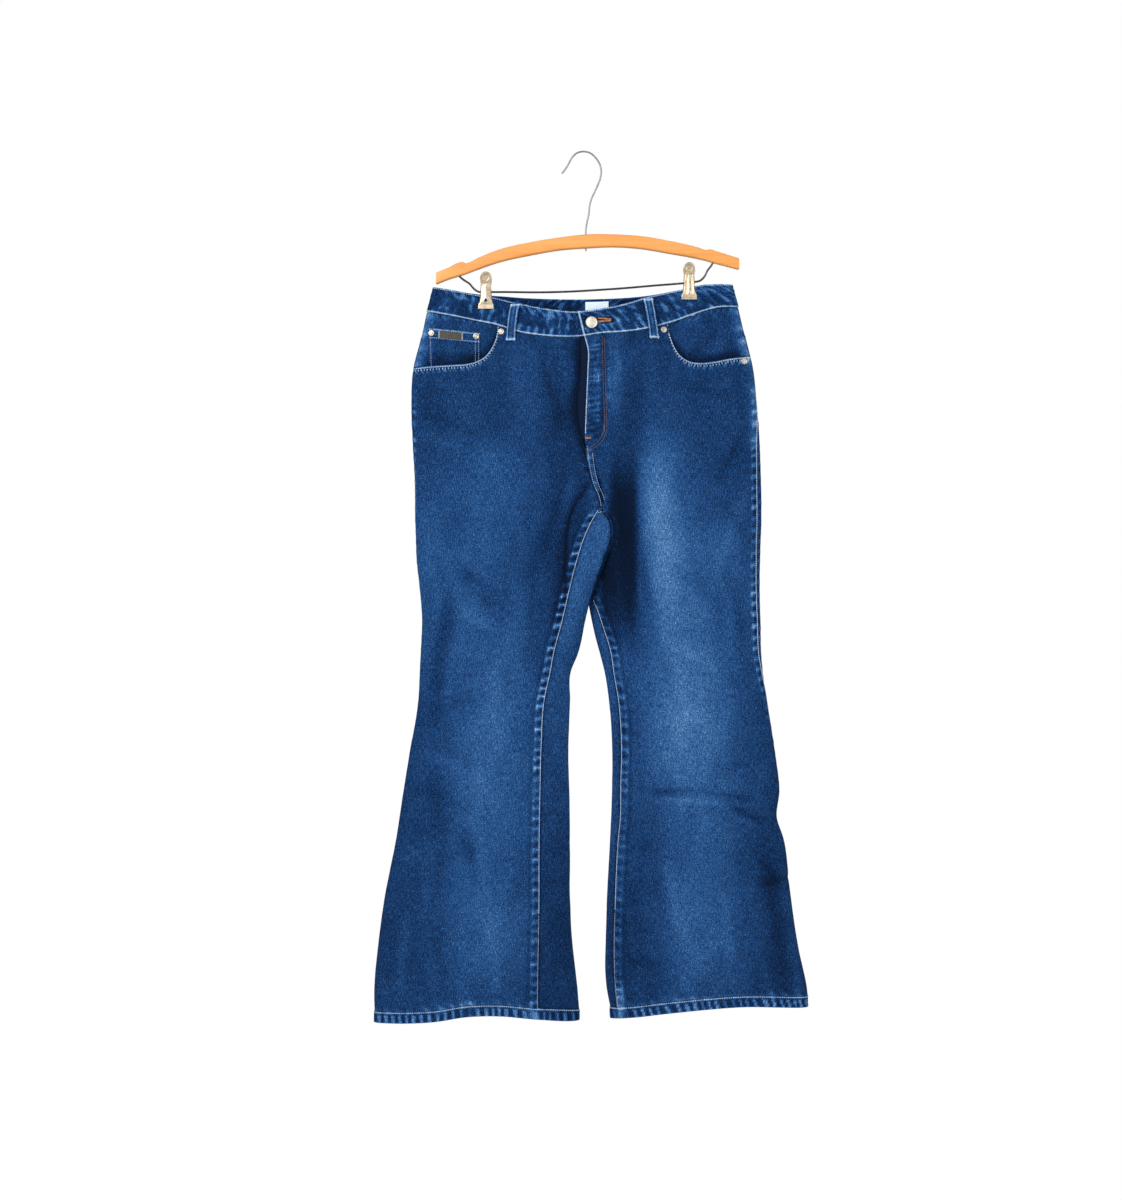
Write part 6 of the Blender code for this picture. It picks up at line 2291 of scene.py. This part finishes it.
@dataclass
class ClipHanger:
    """The wooden arch, its hook, the wire bar and the two spring clips that ride on it."""

    arch: Table = field(default_factory=lambda: Table(
        "x top foot",
        (-210, 172.4, 189), (-190, 164.2, 181), (-173, 157, 176), (-167, 159, 174),
        (-154, 153, 169), (-119, 139, 157), (-76, 129, 147.5), (-33, 122, 140), (7, 117.5, 137),
        (41, 117.5, 135.5), (82, 120, 138), (124, 127, 145), (167, 137, 153),
        (177, 140, 155.5), (180.5, 138.9, 156.5), (189, 141.3, 159), (206, 146.5, 163.5),
        (223, 152, 168),
    ))
    arch_depth: float = 12.0
    arch_corner: float = 2.6
    hook_route: tuple[tuple[float, float], ...] = (
        (4, 141), (4, 134), (4, 127), (4, 120), (4, 113), (5.5, 101), (8, 90), (9.5, 77),
        (11.5, 68), (16, 58), (21, 47), (25, 36), (26, 27), (23.5, 16), (17.5, 7), (10, 0.8),
        (0, -1.3), (-9, 1), (-16, 8), (-21, 17), (-26, 25), (-30, 30),
    )
    hook_wire: float = 2.5
    bar_route: tuple[tuple[float, float], ...] = (
        (-178, 168), (-176.5, 177), (-171, 182), (-162, 188), (-156, 195), (-150, 199),
        (-138, 199.5), (-110, 199.6), (-60, 200), (-20, 199), (24, 196.5), (60, 194),
        (100, 190.5), (138, 187.5), (158, 185.5), (168, 183), (174, 177), (178, 169),
        (184, 161), (188, 151),
    )
    bar_wire: float = 3.0
    jaw: Table = field(default_factory=lambda: Table(
        "below half_width stand_off",
        (-28, 5.0, 9.0), (-26, 7.5, 8.6), (-21, 8.3, 7.6), (-12, 8.2, 5.4), (-3, 8.0, 4.4),
        (6, 8.0, 4.6), (14, 9.5, 4.9), (20, 11.0, 4.4), (25, 11.2, 4.2),
    ))
    jaw_steel: float = 0.9
    sleeve_radius: float = 2.9
    sleeve_length: float = 14.0

    def build_arch(self) -> None:
        """Extrude the rounded section from station to station along the bow."""
        stations = np.concatenate([
            [-210, -209, -200, -190, -181, -174.5, -172, -167, -160], np.arange(-150, 172, 9.0),
            [173, 177, 180.5, 184, 190, 198, 206, 214, 222, 223],
        ])
        tops, feet = -self.arch.at("top", stations), -self.arch.at("foot", stations)
        tops[[0, -1]] -= 1.0
        feet[[0, -1]] += 1.0
        middles, heights = (tops + feet) / 2, tops - feet
        Bench.take()
        bpy.ops.mesh.primitive_plane_add(
            size=1, location=(stations[0] * MM, 0, middles[0] * MM), rotation=(0, np.pi / 2, 0),
        )
        arch = bpy.context.object
        arch.name = "hanger_arch_wood"
        arch.scale = (heights[0] * MM, self.arch_depth * MM, 1)
        bpy.ops.object.transform_apply(location=True, rotation=True, scale=True)
        bpy.ops.object.mode_set(mode="EDIT")
        bpy.ops.mesh.select_all(action="SELECT")
        bpy.ops.mesh.bevel(
            offset=self.arch_corner * MM, segments=4, affect="VERTICES", offset_type="OFFSET",
        )
        bpy.ops.mesh.select_all(action="SELECT")
        for i in range(1, len(stations)):
            step = ((stations[i] - stations[i - 1]) * MM, 0, (middles[i] - middles[i - 1]) * MM)
            bpy.ops.mesh.extrude_region_move(TRANSFORM_OT_translate={"value": step})
            bpy.ops.transform.resize(
                value=(1, 1, heights[i] / heights[i - 1]),
                center_override=(stations[i] * MM, 0, middles[i] * MM),
            )
        bpy.ops.mesh.select_all(action="SELECT")
        bpy.ops.mesh.normals_make_consistent(inside=False)
        bpy.ops.object.mode_set(mode="OBJECT")
        bpy.ops.object.shade_smooth_by_angle(angle=0.6)
        settle(arch, BEECH, "beech", "hanger_arch")

    def build_wire(self, name: str, route: Sequence[tuple[float, float]], diameter: float,
                   finish: Grained) -> None:
        """Bend a round wire along a smooth route.

        Args:
            name: The node that it stands for.
            route: (x, drop) along it.
            diameter: Its thickness.
            finish: Its metal.
        """
        points = np.array(route, float)
        run = run_along(points)
        by_run = Table("run x drop", *map(tuple, np.column_stack([run, points])))
        even = np.linspace(0, run[-1], int(run[-1] / 1.6) + 1)
        data = bpy.data.curves.new(name + "_steel", "CURVE")
        data.dimensions = "3D"
        data.bevel_depth = diameter / 2 * MM
        data.bevel_resolution = 4
        data.use_fill_caps = True
        spline = data.splines.new("POLY")
        spline.points.add(len(even) - 1)
        for point, x, drop in zip(spline.points, by_run.at("x", even), by_run.at("drop", even)):
            point.co = (x * MM, 0, -drop * MM, 1)
        obj = bpy.data.objects.new(name + "_steel", data)
        bpy.context.scene.collection.objects.link(obj)
        Bench.take(obj)
        bpy.ops.object.convert(target="MESH")
        obj = bpy.context.object
        obj.data.shade_smooth()
        settle(obj, finish, finish.name, name)

    def bar_drop(self, x: float) -> float:
        """The bar's drop at x."""
        route = np.array(self.bar_route, float)
        return float(np.interp(x, route[:, 0], route[:, 1]))

    def build_jaw(self, side: str, x: float, wall: Wall) -> None:
        """Press one jaw: round finger pad, channelled body and flared lip.

        Args:
            side: Which clip.
            x: Its x.
            wall: Which side of the cloth it bites.
        """
        name = f"clip_{side}_{wall.value}_jaw"
        across = np.linspace(-1, 1, 25)[None]
        below = np.concatenate([-28 + 8 * (1 - np.cos(np.linspace(0, np.pi / 2, 9))),
                                np.linspace(-19, 25, 40)])[:, None]
        head = np.sqrt(np.clip(8.2**2 - np.clip(below + 19.8, -8.2, 0) ** 2, 0.6, None))
        half_width = self.jaw.at("half_width", below)
        in_head = np.minimum(half_width + 0.6 * (below < -20), head)
        half_width = np.where(below > -19.8, half_width, in_head) - 0.9 * bell((below + 9) / 5)
        body = smooth((below + 12) / 5) * smooth((19 - below) / 5)
        present = np.ones((below.size - 1, across.size - 1), bool)
        if side == "left":
            press = 0.75 * body * np.cos(across * np.pi * 2.5)
        else:
            press = 0.6 * body * (1 - across**2) + 0.35 * body * bell(across / 0.28)
            mid_below = (below[1:] + below[:-1]) / 2
            wedge = np.abs(across[:, 1:] + across[:, :-1]) * 4.5 < 0.5 + 0.55 * (mid_below - 10.6)
            present = ~(wedge & (mid_below > 10.6) & (mid_below < 15.2))
        dish = -0.45 * smooth((5.2 - np.hypot(across * half_width, below + 20)) / 1.6)
        flange = -2.0 * body * smooth((np.abs(across) - 0.8) / 0.2)
        lip = 0.8 * smooth((below - 21) / 4)
        out = self.jaw.at("stand_off", below) + press + dish + flange + lip
        points = np.stack([x + half_width * across, wall.facing * out,
                           0 * across - (self.bar_drop(x) + below)], axis=-1).reshape(-1, 3)
        corner = np.arange(len(points)).reshape(below.size, across.size)
        faces = np.stack([corner[:-1, :-1], corner[:-1, 1:], corner[1:, 1:], corner[1:, :-1]], -1)
        used, faces = np.unique(faces[present], return_inverse=True)
        obj = smooth_mesh(name + "_plate", points[used], faces.reshape(-1, 4).tolist())
        solid = obj.modifiers.new("steel", "SOLIDIFY")
        solid.thickness = self.jaw_steel * MM
        solid.offset = 0
        fine = obj.modifiers.new("smooth", "SUBSURF")
        fine.levels = fine.render_levels = 1
        Bench.apply(obj)
        obj.data.shade_smooth()
        settle(obj, CLIP_BRASS, "clip_brass", name)

    def build_sleeve(self, side: str, x: float) -> None:
        """Roll the short sleeve that rides on the bar.

        Args:
            side: Which clip.
            x: Its x.
        """
        name = f"clip_{side}_sleeve"
        reach = self.sleeve_length / 2
        lean = np.arctan2(self.bar_drop(x + reach) - self.bar_drop(x - reach), 2 * reach)
        obj = Bench.cylinder(name + "_tube", self.sleeve_radius, self.sleeve_length, 32,
                             (x, 0, -self.bar_drop(x)), np.pi / 2 + lean, "NOTHING")
        solid = obj.modifiers.new("steel", "SOLIDIFY")
        solid.thickness = 0.7 * MM
        solid.offset = -1
        Bench.soften(obj, 0.15)
        settle(obj, CLIP_BRASS, "clip_brass", name)

    def build(self) -> None:
        """Make the whole hanger."""
        self.build_arch()
        self.build_wire("hanger_hook", self.hook_route, self.hook_wire, HOOK_STEEL)
        self.build_wire("hanger_bar", self.bar_route, self.bar_wire, BAR_STEEL)
        for side, x in zip(("right", "left"), CLIPS):
            for wall in Wall:
                self.build_jaw(side, x, wall)
            self.build_sleeve(side, x)


# ---------------------------------------------------------------- sewing


# Where each inseam's stitches come out of the crotch's shade, and the fly's curve.
INSEAM_SHOWS = {"right": 511, "left": 636}
FLY_CURVE = Table(
    "order x drop", (0, 30, 266), (1, 31, 300), (2, 32, 340), (3, 33, 370), (4, 33.6, 392),
    (5, 32, 403), (6, 26.5, 415), (7, 16, 424), (8, 6, 429),
)

@dataclass
class Sewing:
    """All the visible stitching, on the finished cloth."""

    sides: dict[str, SidePanels]
    band: Waistband
    coin: CoinPocket
    pockets: list[BackPocket]
    loops: list[BeltLoop]

    def front_rows(self) -> tuple[Stitching, Stitching]:
        """Rows of the fronts: inseams, tan near the hems, side seams, mouths, fly and rise.

        Returns:
            The pale and the tan rows.
        """
        pale = Stitching("stitches_front", PALE_THREAD)
        tan = Stitching("stitches_inseam", TAN_THREAD)
        for side in self.sides.values():
            line = side.front.edge_line
            pale.sew(line(Edge.END, 1.0, INSEAM_SHOWS[side.half.name], TAN_BELOW), 1.2, 1.05)
            tan.sew(line(Edge.END, 1.0, TAN_BELOW), 1.2)
            pale.sew(line(Edge.START, 1.4, 345), 1.1, 1.2)
            reach = abs(side.half.mouth.at("x", 0)) - 1
            pale.sew(line(Edge.TOP, 1.6).beyond(reach), 1.0, 1.4)
            pale.tack(line(Edge.TOP, 4.6).beyond(reach + 1), 3.0, 4.4)
        line = self.sides["left"].front.edge_line
        pale.sew(line(Edge.END, 1.0, 266, 404), 1.2, 1.5)
        pale.sew(line(Edge.END, 2.2, 418, 506), 1.0, 0.7)
        pale.sew(line(Edge.END, 8.4, 430, 500), 1.0, 0.7)
        return pale, tan

    def fly_rows(self) -> tuple[Stitching, Stitching]:
        """The brown double row of the fly's curve, and the orange and brown bars.

        Returns:
            The brown and the orange rows.
        """
        brown = Stitching("stitches_fly", BROWN_THREAD, radius=0.5)
        orange = Stitching("bar_tacks", ORANGE_THREAD, radius=0.45)
        left = self.sides["left"].front
        order = np.linspace(0, 8, 60)
        for inset in (0.0, 3.2):
            line = (FLY_CURVE.at("x", order) - inset, FLY_CURVE.at("drop", order) - 0.8 * inset)
            brown.sew(left.line_through(*line))
        tack = np.linspace(0, 1, 5)
        orange.tack(left.line_through(3.0 + 8.0 * tack, 410.0 + 0 * tack), 2.6, 0.8)
        brown.tack(left.line_through(30.0 + 0 * tack, 391.0 + 8 * tack), 2.2, 0.8)
        band, on_tab = self.band.cloth, self.band.on_tab()
        hole = np.linspace(0, 1, 16)
        for side in (-1, 1):
            drop = BUTTONHOLE_PLACE[1] + side * (2.5 - 1.6 * hole)
            orange.tack(band.line_through(21 + 18.5 * hole, drop, on_tab), 2.3, 0.7)
        return brown, orange

    def trim_rows(self) -> tuple[Stitching]:
        """Rows along the waistband, the loops, the coin pocket and the hems.

        Returns:
            The rows.
        """
        pale = Stitching("stitches_trim", PALE_THREAD)
        band, coin, plate = self.band.cloth, self.coin.cloth, self.coin.plate
        hems = [(side.hem, Edge.TOP, 1.4, 1.0, 1.15) for side in self.sides.values()]
        loops = [(loop.cloth, edge, 1.9, 1.0, 0.75)
                 for loop in self.loops for edge in (Edge.START, Edge.END)]
        for cloth, edge, inset, lengthen, thicken in (
            (band, Edge.TOP, 1.6, 1.0, 1.0), (band, Edge.FOOT, 1.4, 1.2, 1.35),
            (band, Edge.END, 1.8, 1.2, 1.9), *loops,
            (coin, Edge.TOP, 1.6, 1.0, 0.65), (coin, Edge.TOP, 13.2, 1.0, 0.8),
            (coin, Edge.START, 2.6, 0.9, 0.55), (coin, Edge.END, 1.8, 0.9, 0.55),
            (coin, Edge.END, 6.6, 0.9, 0.55), *hems,
        ):
            pale.sew(cloth.edge_line(edge, inset), lengthen, thicken)
        for loop in self.loops:
            for edge in (Edge.TOP, Edge.FOOT):
                pale.tack(loop.cloth.edge_line(edge, 2.2), 2.2, 1.0)
        for edge in (Edge.START, Edge.END):
            pale.tack(plate.edge_line(edge, 1.4), 2.2, 1.5)
        return (pale,)

    def back_rows(self) -> tuple[Stitching]:
        """Rows of the back: yokes, centre seam and patch pockets.

        Returns:
            The rows.
        """
        pale = Stitching("stitches_back", PALE_THREAD)
        for side in self.sides.values():
            for inset in (1.6, 7.6):
                pale.sew(side.back.edge_line(Edge.TOP, inset))
        left = self.sides["left"]
        for cloth, x, drops in ((left.back, 22, np.linspace(332, 500, 70)),
                                (left.yoke, 20.6, np.linspace(254, 322, 30))):
            for away in (2.0, 8.0):
                pale.sew(cloth.line_through(x + away + 0 * drops, drops))
        for pocket in self.pockets:
            for edge in Edge:
                for inset in (1.8, 13.0) if edge is Edge.TOP else (1.6, 7.2):
                    pale.sew(pocket.cloth.edge_line(edge, inset), 1.0, 0.85)
        return (pale,)

    def build(self) -> None:
        """Make every row."""
        for rows in (self.front_rows, self.fly_rows, self.trim_rows, self.back_rows):
            for stitching in rows():
                stitching.build()


# ---------------------------------------------------------------- the room


@dataclass(frozen=True)
class Room:
    """A bright white studio: a small pale floor far below, soft lights and the camera."""

    camera_place: tuple[float, float, float] = (-0.0315, -2.86, -0.640)
    lens: float = 60.0
    sensor: float = 36.0
    floor_height: float = -1.70
    floor_radius: float = 0.6
    ambient: float = 0.5
    middle: tuple[float, float, float] = (0, 0, -0.72)
    lamps: tuple[tuple[str, tuple[float, float, float], float, float], ...] = (
        ("key", (-1.5, -2.1, 0.5), 1.1, 62), ("fill", (1.9, -2.0, -0.3), 1.6, 24),
        ("rear", (0.9, 2.3, 0.3), 1.6, 40),
    )

    def build_floor(self) -> None:
        """Lay the floor."""
        Bench.take()
        bpy.ops.mesh.primitive_cylinder_add(
            vertices=96, radius=self.floor_radius, depth=0.02,
            location=(0, 0, self.floor_height - 0.01),
        )
        floor = bpy.context.object
        floor.name = "studio_floor"
        Bench.soften(floor, 4.0)
        board = Board("studio_floor")
        board.set(Base_Color=(0.86, 0.86, 0.86, 1), Roughness=0.7)
        spot = board.add("ShaderNodeTexCoord").outputs["Object"]
        board.bump(board.noise(spot, (60, 60, 60)), 0.0003, 0.1)
        floor.data.materials.append(board.material)

    def light(self) -> None:
        """Set up a world that looks white and lights softly, and hang the square lamps."""
        world = bpy.data.worlds.new("studio")
        bpy.context.scene.world = world
        world.use_nodes = True
        nodes, links = world.node_tree.nodes, world.node_tree.links
        nodes["Background"].inputs["Color"].default_value = (1, 1, 1, 1)
        path = nodes.new("ShaderNodeLightPath")
        level = nodes.new("ShaderNodeMapRange")
        level.inputs["To Min"].default_value = self.ambient
        level.inputs["To Max"].default_value = 1.0
        links.new(path.outputs["Is Camera Ray"], level.inputs["Value"])
        links.new(level.outputs[0], nodes["Background"].inputs["Strength"])
        for name, place, size, power in self.lamps:
            data = bpy.data.lights.new(name, "AREA")
            data.shape = "SQUARE"
            data.size = size
            data.energy = power
            lamp = bpy.data.objects.new(name, data)
            lamp.location = place
            aim = Vector(self.middle) - Vector(place)
            lamp.rotation_euler = aim.to_track_quat("-Z", "Y").to_euler()
            bpy.context.scene.collection.objects.link(lamp)

    def build(self) -> None:
        """Set up the floor, the lights and the camera."""
        self.build_floor()
        self.light()
        scene = bpy.context.scene
        scene.view_settings.view_transform = "Standard"
        data = bpy.data.cameras.new("camera")
        data.lens = self.lens
        data.sensor_fit = "VERTICAL"
        data.sensor_height = self.sensor
        camera = bpy.data.objects.new("camera", data)
        camera.location = self.camera_place
        camera.rotation_euler = (np.pi / 2, 0, 0)
        scene.collection.objects.link(camera)
        scene.camera = camera


def main() -> None:
    """Build the jeans, their sewing, the hanger and the room."""
    logging.basicConfig(level=logging.INFO, format="%(name)s %(message)s")
    sides = {name: SidePanels(half, 100 * (i + 1)) for i, (name, half) in enumerate(SIDES.items())}
    for side in sides.values():
        side.shape()
        side.build()
    band = Waistband()
    band.shape()
    band.build()
    coin = CoinPocket()
    coin.shape()
    coin.build()
    Fly().shape_and_build()
    WaistLabel().shape_and_build()
    pockets = [BackPocket(half, 360 + 5 * i) for i, half in enumerate(SIDES.values())]
    loops = [BeltLoop(name, 380 + i) for i, name in enumerate(LOOPS)]
    for piece in pockets + loops:
        piece.shape()
        piece.build()
    Studs().build()
    ClipHanger().build()
    Sewing(sides, band, coin, pockets, loops).build()
    Room().build()


if __name__ == "__main__":
    main()
